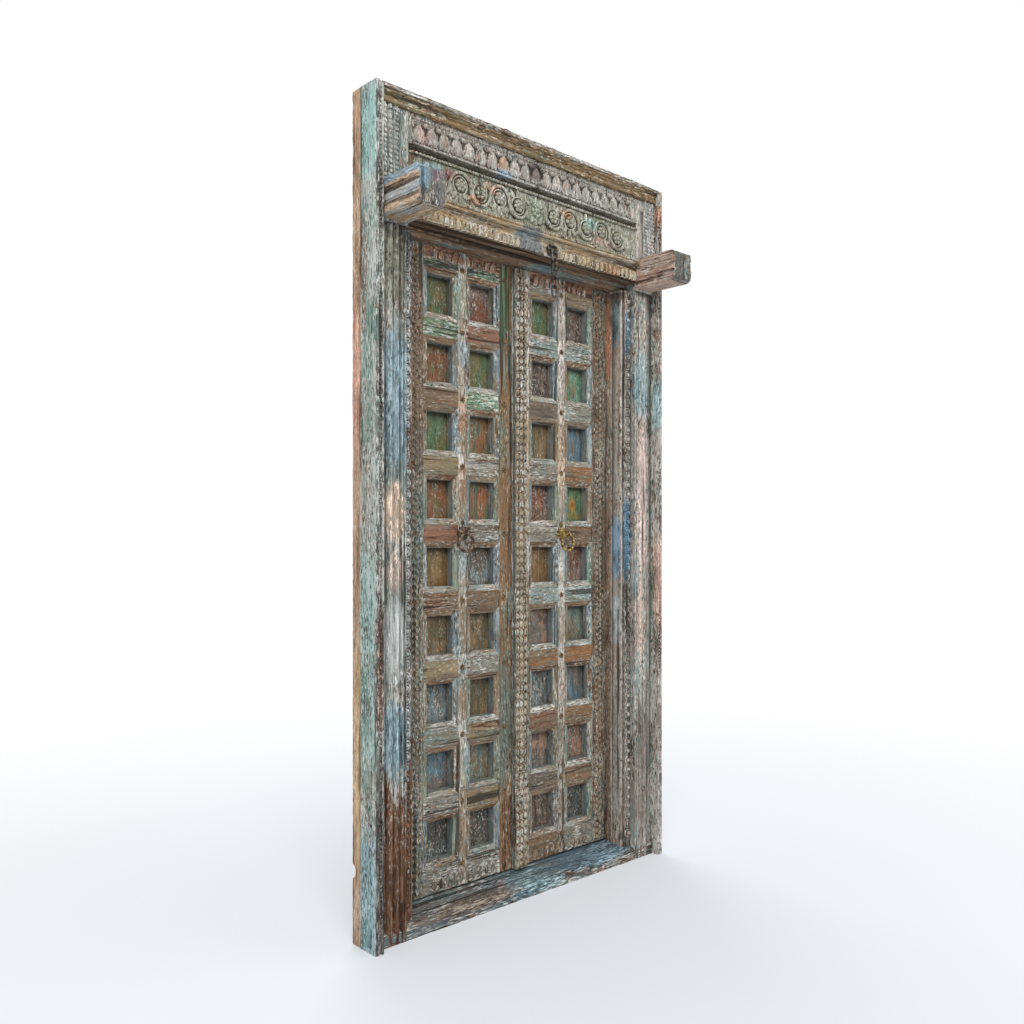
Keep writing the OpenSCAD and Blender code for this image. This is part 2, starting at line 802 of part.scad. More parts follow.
// Link with two round bends and straight sides, hanging from its upper bend
module link(turn) {
  rotate([0, 0, turn]) translate([0, 0, -link_l / 2]) rotate([90, 0, 0]) {
    for (s = [0, 180]) rotate([0, 0, s]) translate([0, link_side / 2, 0])
      rotate_extrude(angle = 180) translate([link_r, 0]) circle(chain_wire);
    for (x = [-link_r, link_r]) translate([x, link_side / 2, 0]) rotate([90, 0, 0])
      cylinder(h = link_side, r = chain_wire);
  }
}

module chain_link(i) {
  color("DimGray") placed() translate([chain_x, staple_y, link_z - (i - 1) * link_step])
    link(i % 2 == 1 ? 0 : 90);
}
module chain_link_1() { chain_link(1); }
module chain_link_2() { chain_link(2); }
module chain_link_3() { chain_link(3); }
module chain_link_4() { chain_link(4); }
module chain_link_5() { chain_link(5); }

module left_rail_1() { rail(-1, 1); }
module left_rail_2() { rail(-1, 2); }
module left_rail_3() { rail(-1, 3); }
module left_rail_4() { rail(-1, 4); }
module left_rail_5() { rail(-1, 5); }
module left_rail_6() { rail(-1, 6); }
module left_rail_7() { rail(-1, 7); }
module left_rail_8() { rail(-1, 8); }
module left_rail_9() { rail(-1, 9); }
module left_rail_10() { rail(-1, 10); }
module right_rail_1() { rail(1, 1); }
module right_rail_2() { rail(1, 2); }
module right_rail_3() { rail(1, 3); }
module right_rail_4() { rail(1, 4); }
module right_rail_5() { rail(1, 5); }
module right_rail_6() { rail(1, 6); }
module right_rail_7() { rail(1, 7); }
module right_rail_8() { rail(1, 8); }
module right_rail_9() { rail(1, 9); }
module right_rail_10() { rail(1, 10); }

left_jamb();
right_jamb();
left_outer_trim();
right_outer_trim();
left_back_batten();
right_back_batten();
cornice();
upper_frieze();
lower_frieze();
head_beam();
lintel_beam();
inner_head();
left_bracket();
right_bracket();
threshold();
pivot_beam();
chain_staple();
left_hinge_stile();
left_meeting_stile();
left_muntin();
left_rail_1();
left_rail_2();
left_rail_3();
left_rail_4();
left_rail_5();
left_rail_6();
left_rail_7();
left_rail_8();
left_rail_9();
left_rail_10();
left_outer_plank();
left_inner_plank();
left_studs();
left_pull_boss();
left_pull_ring();
right_hinge_stile();
right_meeting_stile();
right_muntin();
right_rail_1();
right_rail_2();
right_rail_3();
right_rail_4();
right_rail_5();
right_rail_6();
right_rail_7();
right_rail_8();
right_rail_9();
right_rail_10();
right_outer_plank();
right_inner_plank();
right_studs();
right_pull_boss();
right_pull_ring();
astragal();
chain_link_1();
chain_link_2();
chain_link_3();
chain_link_4();
chain_link_5();
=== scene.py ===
"""Carved temple door: worn paint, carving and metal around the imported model, camera and light."""
import logging
import math
from collections.abc import Callable, Sequence
from dataclasses import dataclass, field, replace
from enum import Enum

import bpy
from mathutils import Matrix, Vector


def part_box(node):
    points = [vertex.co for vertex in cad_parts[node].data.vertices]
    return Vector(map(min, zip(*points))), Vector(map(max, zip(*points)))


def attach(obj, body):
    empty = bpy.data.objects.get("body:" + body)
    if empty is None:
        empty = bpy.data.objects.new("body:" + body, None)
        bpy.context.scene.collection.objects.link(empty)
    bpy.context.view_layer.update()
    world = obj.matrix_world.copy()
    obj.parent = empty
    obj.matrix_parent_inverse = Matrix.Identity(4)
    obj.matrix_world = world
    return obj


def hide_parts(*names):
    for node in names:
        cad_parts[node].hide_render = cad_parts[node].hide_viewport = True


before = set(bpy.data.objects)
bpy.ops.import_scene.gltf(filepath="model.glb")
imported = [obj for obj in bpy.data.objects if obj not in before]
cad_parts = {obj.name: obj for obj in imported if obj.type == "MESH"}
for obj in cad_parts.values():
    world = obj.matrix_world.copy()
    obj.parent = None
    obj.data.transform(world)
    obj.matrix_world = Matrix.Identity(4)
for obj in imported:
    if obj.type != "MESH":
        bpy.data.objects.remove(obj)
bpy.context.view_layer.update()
LOG = logging.getLogger("temple_door")
MM = 0.001
Colour = tuple[float, float, float]
Socket = bpy.types.NodeSocket
Feed = Socket | float | Colour

# Depth of the frame in millimetres, and the axis of the pins with what stays unworn round it
FRAME_DEPTH = 107.0
PIVOT = (420 * MM, 84.5 * MM)
PIVOT_REACH = 15.5 * MM

# Cosines past which a face counts as looking to a side
FACING = 0.5
LEVEL = 0.6
SQUARE = 0.7

# Angles between faces: flat, rounded as an arris, and shaded as sharp
FLAT_ANGLE = math.radians(1.5)
ARRIS_ANGLE = math.radians(24)
SHARP_ANGLE = math.radians(35)

# Bare foot of a post: swing of its edge and how far it fades, in metres
BARE_SWING = 0.5
BARE_FADE = 0.12

# Stains: where they fade from and to, and the light and contrast that they take over
STAIN_EDGE = (1.3, 0.4)
STAIN_LIGHT = 0.22
STAIN_CONTRAST = 0.75


def depth(distance: float) -> float:
    """Turns millimetres behind the front of the trims into metres along Y."""
    return (distance - FRAME_DEPTH / 2) * MM


def paint(red: int, green: int, blue: int) -> Colour:
    """Turns a colour as the eye reads it, 0 to 255, into a linear one.

    Args:
        red: Share of red.
        green: Share of green.
        blue: Share of blue.

    Returns:
        The linear colour.
    """
    shares = (value / 255 for value in (red, green, blue))
    return tuple(s / 12.92 if s <= 0.04045 else ((s + 0.055) / 1.055) ** 2.4 for s in shares)


# Shader trees


class Tree:
    """Adds shader nodes to one node tree in few words."""

    def __init__(self, tree: bpy.types.NodeTree) -> None:
        """Keeps the tree that gets the nodes."""
        self.tree = tree

    def node(self, kind: str, **settings: object) -> bpy.types.Node:
        """Adds a node.

        Args:
            kind: Blender's name of the node type.
            settings: Properties to set on it.

        Returns:
            The new node.
        """
        made = self.tree.nodes.new(kind)
        for name, value in settings.items():
            setattr(made, name, value)
        return made

    def feed(self, socket: Socket, value: Feed) -> None:
        """Links a socket to another, or sets its own value.

        Args:
            socket: Input that is fed.
            value: Output to link, or the number or colour to set.
        """
        if isinstance(value, bpy.types.NodeSocket):
            self.tree.links.new(value, socket)
        elif isinstance(value, tuple) and socket.type == "RGBA":
            socket.default_value = (*value, 1.0)
        else:
            socket.default_value = value

    def math(self, kind: str, first: Feed, second: Feed = 0.0) -> Socket:
        """Adds a math node.

        Args:
            kind: Blender's name of the operation.
            first: First value.
            second: Second value.

        Returns:
            The result.
        """
        made = self.node("ShaderNodeMath", operation=kind)
        self.feed(made.inputs[0], first)
        self.feed(made.inputs[1], second)
        return made.outputs[0]

    def mix(self, share: Feed, first: Feed, second: Feed, blend: str = "MIX") -> Socket:
        """Mixes two colours.

        Args:
            share: Share of the second colour.
            first: First colour.
            second: Second colour.
            blend: Blender's name of the blend.

        Returns:
            The mixed colour.
        """
        made = self.node("ShaderNodeMix", data_type="RGBA", blend_type=blend)
        self.feed(made.inputs[0], share)
        self.feed(made.inputs[6], first)
        self.feed(made.inputs[7], second)
        return made.outputs[2]

    def noise(self, vector: Socket, scale: Feed, detail: float = 3.0,
              rough: float = 0.55) -> Socket:
        """Adds a noise texture.

        Args:
            vector: Where it is read.
            scale: How fine it is.
            detail: Number of finer layers in it.
            rough: Share of those layers.

        Returns:
            Its value, 0 to 1.
        """
        made = self.node("ShaderNodeTexNoise")
        self.feed(made.inputs["Vector"], vector)
        self.feed(made.inputs["Scale"], scale)
        made.inputs["Detail"].default_value = detail
        made.inputs["Roughness"].default_value = rough
        return made.outputs["Fac"]

    def step(self, value: Socket, low: Feed, high: Feed) -> Socket:
        """Rises smoothly from 0 at low to 1 at high.

        Args:
            value: Value to follow.
            low: Where the rise starts.
            high: Where it ends.

        Returns:
            The rising value.
        """
        made = self.node("ShaderNodeMapRange", interpolation_type="SMOOTHSTEP")
        self.feed(made.inputs[0], value)
        self.feed(made.inputs[1], low)
        self.feed(made.inputs[2], high)
        return made.outputs[0]

    def stretch(self, vector: Socket, factors: Colour, shift: Colour = (0.0, 0.0, 0.0)) -> Socket:
        """Scales a vector and shifts it.

        Args:
            vector: The vector.
            factors: Factor along each axis.
            shift: Shift along each axis.

        Returns:
            The new vector.
        """
        made = self.node("ShaderNodeVectorMath", operation="MULTIPLY_ADD")
        self.feed(made.inputs[0], vector)
        made.inputs[1].default_value = factors
        made.inputs[2].default_value = shift
        return made.outputs[0]

    def blend(self, *parts: tuple[Socket, float], base: float = 0.0) -> Socket:
        """Adds up values by their weights.

        Args:
            parts: Each value with its weight.
            base: Number to start from.

        Returns:
            The sum.
        """
        total: Feed = base
        for value, weight in parts:
            made = self.node("ShaderNodeMath", operation="MULTIPLY_ADD")
            self.feed(made.inputs[0], value)
            made.inputs[1].default_value = weight
            self.feed(made.inputs[2], total)
            total = made.outputs[0]
        return total

    def grey(self, value: Socket) -> Socket:
        """Makes a grey colour of a value.

        Args:
            value: How light it is.

        Returns:
            The colour.
        """
        made = self.node("ShaderNodeCombineColor")
        for channel in made.inputs[:3]:
            self.feed(channel, value)
        return made.outputs[0]

    def emboss(self, shader: bpy.types.Node, height: Socket, strength: float, rise: float) -> None:
        """Lets a height show in the light on a surface.

        Args:
            shader: Shader of the surface.
            height: The height, 0 to 1.
            strength: How strongly it shows.
            rise: Height of 1 in metres.
        """
        bump = self.node("ShaderNodeBump")
        bump.inputs["Strength"].default_value = strength
        bump.inputs["Distance"].default_value = rise
        self.feed(bump.inputs["Height"], height)
        self.feed(shader.inputs["Normal"], bump.outputs[0])


def new_material(name: str) -> tuple[bpy.types.Material, Tree, bpy.types.Node]:
    """Starts a material.

    Args:
        name: Its name.

    Returns:
        The material, its tree and its shader.
    """
    made = bpy.data.materials.new(name)
    made.use_nodes = True
    return made, Tree(made.node_tree), made.node_tree.nodes["Principled BSDF"]


def layer_group() -> bpy.types.NodeTree:
    """Builds the group for old layers of paint that flake off timber, with the grain along Z, and
    painted shade with grime in hollows.

    Returns:
        The group, with Color, Roughness and Height as outputs.
    """
    name = "old_paint_layers"
    if name in bpy.data.node_groups:
        return bpy.data.node_groups[name]
    group = bpy.data.node_groups.new(name, "ShaderNodeTree")
    for label in ("Color", "Roughness", "Height"):
        kind = "NodeSocketColor" if label == "Color" else "NodeSocketFloat"
        group.interface.new_socket(label, in_out="OUTPUT", socket_type=kind)
    group.interface.new_socket("Vector", in_out="INPUT", socket_type="NodeSocketVector")
    for label in ("Wood Dark", "Wood Light", "Under", "Top", "Accent", "Chalk"):
        group.interface.new_socket(label, in_out="INPUT", socket_type="NodeSocketColor")
    # Hollow is above 0 in grooves and where shade is painted on panels and cell walls, below 0 on
    # ridges
    for label in ("Under Cover", "Top Cover", "Accent Cover", "Chalk Cover", "Patch", "Bare",
                  "Arris", "Soft", "Crack", "Fleck", "Hollow"):
        group.interface.new_socket(label, in_out="INPUT", socket_type="NodeSocketFloat")
    tree = Tree(group)
    given = tree.node("NodeGroupInput").outputs
    vector = given["Vector"]

    # Bare timber: streaks along the grain, grit and broad tones
    streak = tree.noise(tree.stretch(vector, (1, 1, 0.05)), 330.0, 4.0, 0.7)
    broad = tree.noise(tree.stretch(vector, (1, 1, 0.07), (4, 1, 7)), 85.0, 3.0, 0.6)
    grit = tree.noise(tree.stretch(vector, (1, 1, 0.5), (1, 7, 3)), 620.0, 2.0, 0.6)
    tone = tree.noise(tree.stretch(vector, (1, 1, 0.4), (2, 8, 6)), 26.0, 4.0, 0.65)
    fibre = tree.blend((streak, 0.6), (broad, 0.4))
    spread = tree.step(fibre, 0.3, 0.7)
    ragged = tree.blend((streak, 0.18), (broad, 0.22), (grit, 0.1))
    colour = tree.mix(spread, given["Wood Dark"], given["Wood Light"])
    height = tree.math("MULTIPLY", fibre, 0.7)

    # Three layers of paint in ragged patches
    covered: Feed = 0.0
    for index, label in enumerate(("Under", "Top", "Accent")):
        place = tree.stretch(vector, (1, 1, 0.3), (3.1 * index + 0.7, 5.3 * index, 2.9 * index))
        scale = tree.math("MULTIPLY", given["Patch"], 1.0 + 0.6 * index)
        value = tree.blend((tree.noise(place, scale, 3.0, 0.58), 0.5), (ragged, 1.0))
        gate = tree.blend((given[f"{label} Cover"], -0.36), (given["Bare"], 0.25), base=0.68)
        mask = tree.step(value, tree.blend((given["Soft"], -1.0), (gate, 1.0)),
                         tree.blend((given["Soft"], 1.0), (gate, 1.0)))
        colour = tree.mix(tree.math("MULTIPLY", mask, 0.9), colour, given[label])
        height = tree.blend((height, 1.0), (mask, 0.2))
        covered = tree.math("MAXIMUM", covered, mask)

    # Chalky specks, most of them on edges and ridges
    fleck = tree.noise(tree.stretch(vector, (1, 1, 0.2), (9, 4, 2)), 230.0, 3.0, 0.7)
    cluster = tree.noise(tree.stretch(vector, (1, 1, 0.5), (6, 2, 5)), 16.0, 2.0)
    ridge = tree.step(given["Hollow"], -0.03, -0.3)
    speck = tree.blend((fleck, 0.65), (cluster, 0.35), (given["Arris"], 0.05), (ridge, 0.035))
    gate = tree.blend((given["Chalk Cover"], -0.36), (given["Bare"], 0.1), base=0.68)
    chalk = tree.step(speck, tree.blend((gate, 1.0), base=-0.02),
                      tree.blend((gate, 1.0), base=0.025))
    colour = tree.mix(tree.math("MULTIPLY", chalk, 0.85), colour, given["Chalk"])

    # Worn spots with old blue, old brown and pale flakes
    worn = tree.noise(tree.stretch(vector, (1, 1, 0.25), (3, 6, 8)), 22.0, 3.0, 0.6)
    worn = tree.blend((tree.step(worn, 0.4, 0.58), 0.85), base=0.25)
    worn = tree.math("MULTIPLY", given["Fleck"], worn)
    worn = tree.math("MULTIPLY", worn, tree.blend((given["Bare"], -0.75), base=1.0))
    tint = tree.noise(tree.stretch(vector, (1, 1, 0.22), (7, 5, 1)), 130.0, 3.0, 0.65)
    old_coats = ((0.57, 0.63, paint(112, 148, 148)), (0.43, 0.37, paint(158, 112, 82)))
    for low, high, hue in old_coats:
        share = tree.math("MULTIPLY", tree.step(tint, low, high), tree.math("MULTIPLY", worn, 0.5))
        colour = tree.mix(share, colour, hue)
    flake = tree.noise(tree.stretch(vector, (1, 1, 0.32), (8, 1, 4)), 235.0, 1.5, 0.5)
    share = tree.math("MULTIPLY", worn, 0.85)
    share = tree.math("MULTIPLY", tree.step(flake, 0.585, 0.67), share)
    colour = tree.mix(share, colour, given["Chalk"])

    # Tone along the grain, then pits, cracks and holes, and painted shade with grime in the hollows
    shade = tree.blend((tone, 0.5), (spread, 0.74), base=0.4)
    colour = tree.mix(1.0, colour, tree.grey(shade), "MULTIPLY")
    pit = tree.noise(tree.stretch(vector, (1, 1, 0.12), (3, 3, 9)), 210.0, 3.0, 0.6)
    pit = tree.math("MULTIPLY", tree.step(pit, 0.42, 0.34), 0.75)
    crack = tree.noise(tree.stretch(vector, (1, 1, 0.03), (5, 2, 1)), 48.0)
    crack = tree.math("MULTIPLY", tree.step(crack, 0.4, 0.35), given["Crack"])
    hole = tree.math("MULTIPLY", tree.step(flake, 0.415, 0.33), worn)
    sunk = tree.math("MAXIMUM", tree.math("MAXIMUM", pit, hole), crack)
    # Painted shade with some grime where the Hollow input is high, darkened like the pits
    dirt_and_shade = tree.step(tree.blend((given["Hollow"], 1.0), (streak, 0.3), base=-0.15), 0.06, 0.36)
    sunk = tree.math("MAXIMUM", sunk, tree.math("MULTIPLY", dirt_and_shade, 0.9))
    seam_and_shade = tree.mix(0.75, given["Wood Dark"], (0.0, 0.0, 0.0))
    colour = tree.mix(tree.math("MULTIPLY", sunk, 0.8), colour, seam_and_shade)
    height = tree.blend((height, 1.0), (chalk, 0.2), (sunk, -0.7))
    rough = tree.blend((covered, -0.14), base=0.84)
    result = tree.node("NodeGroupOutput").inputs
    tree.feed(result["Color"], colour)
    tree.feed(result["Roughness"], rough)
    tree.feed(result["Height"], height)
    return group


class Grain(Enum):
    """Way that the grain of a timber runs."""

    UP = "XYZ"
    ALONG = "ZYX"
    OUT = "XZY"


@dataclass(frozen=True)
class Stain:
    """Soft patch of another colour on a face that looks to the front."""

    centre: tuple[float, float]
    reach: tuple[float, float]
    colour: Colour
    strength: float = 0.8
    ragged: float = 2.4


@dataclass(frozen=True)
class PaintFinish:
    """Timber under three layers of flaking paint and chalky specks."""

    name: str
    wood: tuple[Colour, Colour]
    under: Colour
    top: Colour
    accent: Colour
    chalk: Colour
    cover: tuple[float, float, float, float]
    patch: float = 10.0
    grain: Grain = Grain.UP
    bare_below: float = 0.0
    stains: tuple[Stain, ...] = ()
    squash: float = 1.0
    soft: float = 0.03
    crack: float = 1.0
    fleck: float = 1.0

    def material(self) -> bpy.types.Material:
        """Builds the material, or returns the one that is there.

        Returns:
            The material of this finish.
        """
        if self.name in bpy.data.materials:
            return bpy.data.materials[self.name]
        made, tree, shader = new_material(self.name)
        place = tree.node("ShaderNodeTexCoord").outputs["Object"]
        split = tree.node("ShaderNodeSeparateXYZ")
        tree.feed(split.inputs[0], place)
        turned = tree.node("ShaderNodeCombineXYZ")
        for slot, letter in enumerate(self.grain.value):
            tree.feed(turned.inputs[slot], split.outputs["XYZ".index(letter)])
        layers = tree.node("ShaderNodeGroup", node_tree=layer_group())
        tree.feed(layers.inputs["Vector"], tree.stretch(turned.outputs[0], (1, 1, self.squash)))
        dark, light = self.wood
        values = {"Wood Dark": dark, "Wood Light": light, "Under": self.under, "Top": self.top,
                  "Accent": self.accent, "Chalk": self.chalk, "Patch": self.patch,
                  "Soft": self.soft, "Crack": self.crack, "Fleck": self.fleck}
        for label, cover in zip(("Under", "Top", "Accent", "Chalk"), self.cover):
            values[f"{label} Cover"] = cover
        for label in ("Arris", "Hollow"):
            felt = tree.node("ShaderNodeAttribute", attribute_name=label.lower())
            values[label] = felt.outputs["Fac"]
        if self.bare_below:
            wave = tree.noise(tree.stretch(place, (1, 1, 0.2)), 22.0)
            wave = tree.math("MULTIPLY", wave, BARE_SWING)
            edge = self.bare_below + BARE_SWING / 2
            values["Bare"] = tree.step(tree.math("ADD", split.outputs[2], wave),
                                       edge + BARE_FADE, edge - BARE_FADE)
        for label, value in values.items():
            tree.feed(layers.inputs[label], value)
        colour = layers.outputs["Color"]
        for stain in self.stains:
            colour = self._stained(tree, split, place, colour, stain)
        tree.feed(shader.inputs["Base Color"], colour)
        tree.feed(shader.inputs["Roughness"], layers.outputs["Roughness"])
        shader.inputs["Specular IOR Level"].default_value = 0.28
        tree.emboss(shader, layers.outputs["Height"], 0.55, 1.6 * MM)
        return made

    @staticmethod
    def _stained(tree: Tree, split: bpy.types.Node, place: Socket, colour: Socket,
                 stain: Stain) -> Socket:
        """Lays one stain over a colour.

        Args:
            tree: Tree that gets the nodes.
            split: Node with the separate coordinates.
            place: Object coordinates.
            colour: Colour below the stain.
            stain: The stain.

        Returns:
            The colour with the stain.
        """
        gone = []
        for axis, centre, reach in zip((0, 2), stain.centre, stain.reach):
            off = tree.math("DIVIDE", tree.math("SUBTRACT", split.outputs[axis], centre), reach)
            gone.append(tree.math("MULTIPLY", off, off))
        ragged = tree.noise(tree.stretch(place, (1, 1, 0.4)), 90.0, 5.0, 0.7)
        ragged = tree.math("SUBTRACT", ragged, 0.5)
        away = tree.math("ADD", gone[0], gone[1])
        away = tree.math("ADD", away, tree.math("MULTIPLY", ragged, stain.ragged))
        share = tree.math("MULTIPLY", tree.step(away, *STAIN_EDGE), stain.strength)
        light = tree.node("ShaderNodeRGBToBW")
        tree.feed(light.inputs[0], colour)
        ratio = tree.math("DIVIDE", light.outputs[0], STAIN_LIGHT)
        ratio = tree.math("POWER", ratio, STAIN_CONTRAST)
        worn = tree.mix(1.0, stain.colour, tree.grey(ratio), "MULTIPLY")
        return tree.mix(share, colour, worn)


@dataclass(frozen=True)
class MetalFinish:
    """Old metal with a darker crust in patches."""

    name: str
    bright: Colour
    crust: Colour
    crust_share: float
    rough: float
    metallic: float = 0.85

    def material(self) -> bpy.types.Material:
        """Builds the material, or returns the one that is there.

        Returns:
            The material of this finish.
        """
        if self.name in bpy.data.materials:
            return bpy.data.materials[self.name]
        made, tree, shader = new_material(self.name)
        place = tree.node("ShaderNodeTexCoord").outputs["Object"]
        patch = tree.noise(place, 130.0, 4.0, 0.62)
        grit = tree.noise(place, 700.0, 2.0)
        gate = 0.71 - 0.42 * self.crust_share
        crust = tree.step(patch, gate - 0.04, gate + 0.06)
        tree.feed(shader.inputs["Base Color"], tree.mix(crust, self.bright, self.crust))
        tree.feed(shader.inputs["Roughness"], tree.blend((crust, 0.25), base=self.rough))
        shader.inputs["Metallic"].default_value = self.metallic
        tree.emboss(shader, tree.math("ADD", grit, crust), 0.4, 0.8 * MM)
        return made


Finish = PaintFinish | MetalFinish
Choice = Callable[[Vector, Vector], Finish]


# Finishes

BROWN = (paint(56, 42, 30), paint(138, 106, 76))
RED_BROWN = (paint(58, 38, 28), paint(142, 100, 72))
TAN = (paint(150, 112, 82), paint(212, 174, 138))
GREY_WOOD = (paint(66, 58, 50), paint(142, 130, 114))
CHALK = paint(214, 212, 204)

BLUE = paint(86, 128, 150)
SIDE_PAINT = PaintFinish(
    "side_paint", GREY_WOOD, paint(124, 158, 147), paint(164, 165, 151), paint(114, 100, 84), CHALK,
    (0.8, 0.5, 0.42, 0.42), 9.0, fleck=1.2,
    stains=(Stain((-0.575, 2.08), (0.3, 0.12), paint(100, 150, 146), 0.5),
            Stain((-0.575, 0.75), (0.3, 0.3), paint(108, 148, 142), 0.4),
            Stain((-0.575, 0.1), (0.3, 0.22), paint(100, 140, 150), 0.45)))
TRIM_PAINT = PaintFinish(
    "outer_trim_paint", GREY_WOOD, paint(112, 124, 118), paint(140, 142, 136), paint(70, 62, 56),
    CHALK, (0.6, 0.5, 0.5, 0.38), 18.0,
    stains=(Stain((-0.562, 0.2), (0.05, 0.3), paint(84, 80, 76), 0.6),
            Stain((-0.562, 0.72), (0.05, 0.16), paint(142, 112, 98), 0.5)))
RIGHT_TRIM = PaintFinish(
    "right_trim_paint", BROWN, paint(168, 152, 138), paint(184, 176, 166), paint(104, 88, 74),
    CHALK, (0.7, 0.46, 0.44, 0.36), 12.0,
    stains=(Stain((0.562, 2.12), (0.03, 0.03), paint(186, 130, 104), 0.6),
            Stain((0.562, 1.5), (0.03, 0.1), paint(120, 158, 162), 0.5),
            Stain((0.562, 0.9), (0.03, 0.16), paint(196, 160, 140), 0.5)))
BEAD_PAINT = PaintFinish(
    "bead_paint", GREY_WOOD, paint(156, 164, 160), paint(172, 172, 166), paint(110, 118, 120),
    CHALK, (0.8, 0.5, 0.4, 0.44), 16.0)
BARE_WOOD = PaintFinish(
    "bare_batten_wood", TAN, paint(198, 164, 134), paint(208, 180, 152), paint(174, 136, 110),
    paint(226, 208, 184), (0.5, 0.4, 0.3, 0.16), 7.0, fleck=0.5,
    stains=(Stain((-0.57, 1.45), (0.3, 0.2), paint(196, 140, 124), 0.4),
            Stain((-0.57, 0.5), (0.3, 0.3), paint(176, 150, 110), 0.4)))
BACK_WOOD = PaintFinish(
    "back_wood", BROWN, paint(118, 92, 68), paint(134, 112, 90), paint(92, 74, 58),
    paint(160, 146, 128), (0.4, 0.3, 0.2, 0.12), 6.0, fleck=0.35)
BEAM_WOOD = PaintFinish(
    "beam_wood", BROWN, paint(118, 92, 68), paint(134, 112, 90), paint(92, 74, 58),
    paint(160, 146, 128), (0.4, 0.3, 0.2, 0.12), 6.0, Grain.ALONG, fleck=0.35)
LEFT_REEDS = PaintFinish(
    "left_reed_paint", RED_BROWN, paint(132, 142, 134), paint(166, 166, 158), paint(104, 96, 84),
    CHALK, (0.7, 0.46, 0.4, 0.36), 9.0, bare_below=0.35,
    stains=(Stain((-0.5, 1.76), (0.07, 0.1), paint(108, 108, 88), 0.6),
            Stain((-0.5, 1.4), (0.07, 0.2), paint(94, 128, 140), 0.55),
            Stain((-0.5, 1.12), (0.03, 0.08), paint(210, 186, 162), 0.75),
            Stain((-0.497, 0.96), (0.026, 0.06), paint(208, 188, 172), 0.65),
            Stain((-0.5, 0.78), (0.04, 0.12), paint(206, 208, 206), 0.6),
            Stain((-0.5, 0.53), (0.05, 0.1), paint(100, 136, 150), 0.55)))
LEFT_STRIP = PaintFinish(
    "left_strip_paint", RED_BROWN, paint(70, 84, 92), paint(104, 118, 124), paint(120, 104, 92),
    CHALK, (0.7, 0.42, 0.4, 0.24), 12.0, bare_below=0.40)
# The pearls are a lighter copy of the blue-grey strip below them: wear and painted light on the
# raised pearls
LEFT_PEARL = PaintFinish(
    "left_pearl_paint", RED_BROWN, paint(132, 148, 154), paint(160, 168, 168), paint(170, 154, 146),
    CHALK, (0.74, 0.46, 0.34, 0.46), 12.0, bare_below=0.40)
INNER_EDGE = PaintFinish(
    "inner_edge_paint", RED_BROWN, paint(116, 88, 70), paint(150, 134, 116), paint(92, 108, 110),
    CHALK, (0.5, 0.3, 0.3, 0.16), 10.0)
REVEAL_EDGE = PaintFinish(
    "reveal_edge_paint", BROWN, paint(182, 166, 154), paint(196, 186, 176), paint(124, 110, 96),
    CHALK, (0.74, 0.46, 0.34, 0.3), 10.0,
    stains=(Stain((0.42, 0.45), (0.3, 0.45), paint(116, 104, 92), 0.5),))
REVEAL_FRONT = PaintFinish(
    "reveal_front_paint", BROWN, paint(188, 170, 154), paint(176, 170, 160), paint(112, 94, 78),
    CHALK, (0.72, 0.44, 0.4, 0.3), 9.0,
    stains=(Stain((0.42, 1.76), (0.3, 0.08), paint(100, 134, 140), 0.6),
            Stain((0.42, 1.02), (0.3, 0.1), paint(110, 156, 184), 0.65),
            Stain((0.42, 0.78), (0.3, 0.08), paint(160, 178, 182), 0.5),
            Stain((0.42, 0.35), (0.3, 0.2), paint(120, 124, 118), 0.5)))
REVEAL_BACK = PaintFinish(
    "reveal_back_paint", RED_BROWN, paint(166, 138, 112), paint(150, 130, 110),
    paint(110, 108, 100), CHALK, (0.7, 0.42, 0.36, 0.2), 9.0,
    stains=(Stain((0.42, 1.7), (0.3, 0.13), paint(188, 118, 80), 0.65),
            Stain((0.42, 0.4), (0.3, 0.4), paint(116, 98, 82), 0.5)))
RIGHT_REEDS = PaintFinish(
    "right_reed_paint", BROWN, paint(178, 166, 152), paint(164, 164, 152), paint(126, 148, 150),
    paint(220, 210, 204), (0.74, 0.46, 0.4, 0.38), 8.0,
    stains=(Stain((0.5, 1.56), (0.05, 0.12), paint(124, 158, 162), 0.5),
            Stain((0.5, 1.2), (0.03, 0.24), paint(196, 172, 160), 0.5),
            Stain((0.492, 0.8), (0.014, 0.2), paint(206, 178, 160), 0.6),
            Stain((0.51, 0.3), (0.06, 0.22), paint(92, 84, 78), 0.55)))
RIGHT_STRIP = PaintFinish(
    "right_strip_paint", BROWN, paint(132, 128, 120), paint(152, 150, 142), paint(92, 84, 74),
    CHALK, (0.7, 0.4, 0.4, 0.22), 12.0,
    stains=(Stain((0.44, 1.05), (0.03, 0.14), BLUE, 0.75),
            Stain((0.44, 1.72), (0.03, 0.08), paint(90, 138, 158), 0.65),
            Stain((0.43, 1.78), (0.012, 0.14), paint(170, 124, 96), 0.4)))
# The pearls are a lighter copy of the strip below them: wear and painted light on the raised pearls
RIGHT_PEARL = PaintFinish(
    "right_pearl_paint", BROWN, paint(158, 152, 142), paint(174, 168, 158), paint(130, 116, 100),
    CHALK, (0.74, 0.46, 0.34, 0.4), 12.0, stains=RIGHT_STRIP.stains)
CORNICE_PAINT = PaintFinish(
    "cornice_paint", BROWN, paint(134, 108, 70), paint(122, 110, 78), paint(148, 136, 116),
    paint(200, 190, 170), (0.62, 0.4, 0.3, 0.16), 8.0, Grain.ALONG)
CORNICE_TOP = PaintFinish(
    "cornice_top_paint", BROWN, paint(140, 124, 102), paint(150, 146, 132), paint(116, 94, 68),
    CHALK, (0.6, 0.4, 0.34, 0.3), 9.0, Grain.ALONG)
UPPER_STAINS = (Stain((-0.004, 2.122), (0.034, 0.03), paint(70, 54, 52), 0.75),
                Stain((-0.13, 2.11), (0.022, 0.02), paint(152, 116, 84), 0.6),
                Stain((-0.125, 2.085), (0.03, 0.012), paint(140, 170, 190), 0.5),
                Stain((-0.415, 2.11), (0.022, 0.03), paint(160, 122, 118), 0.5))
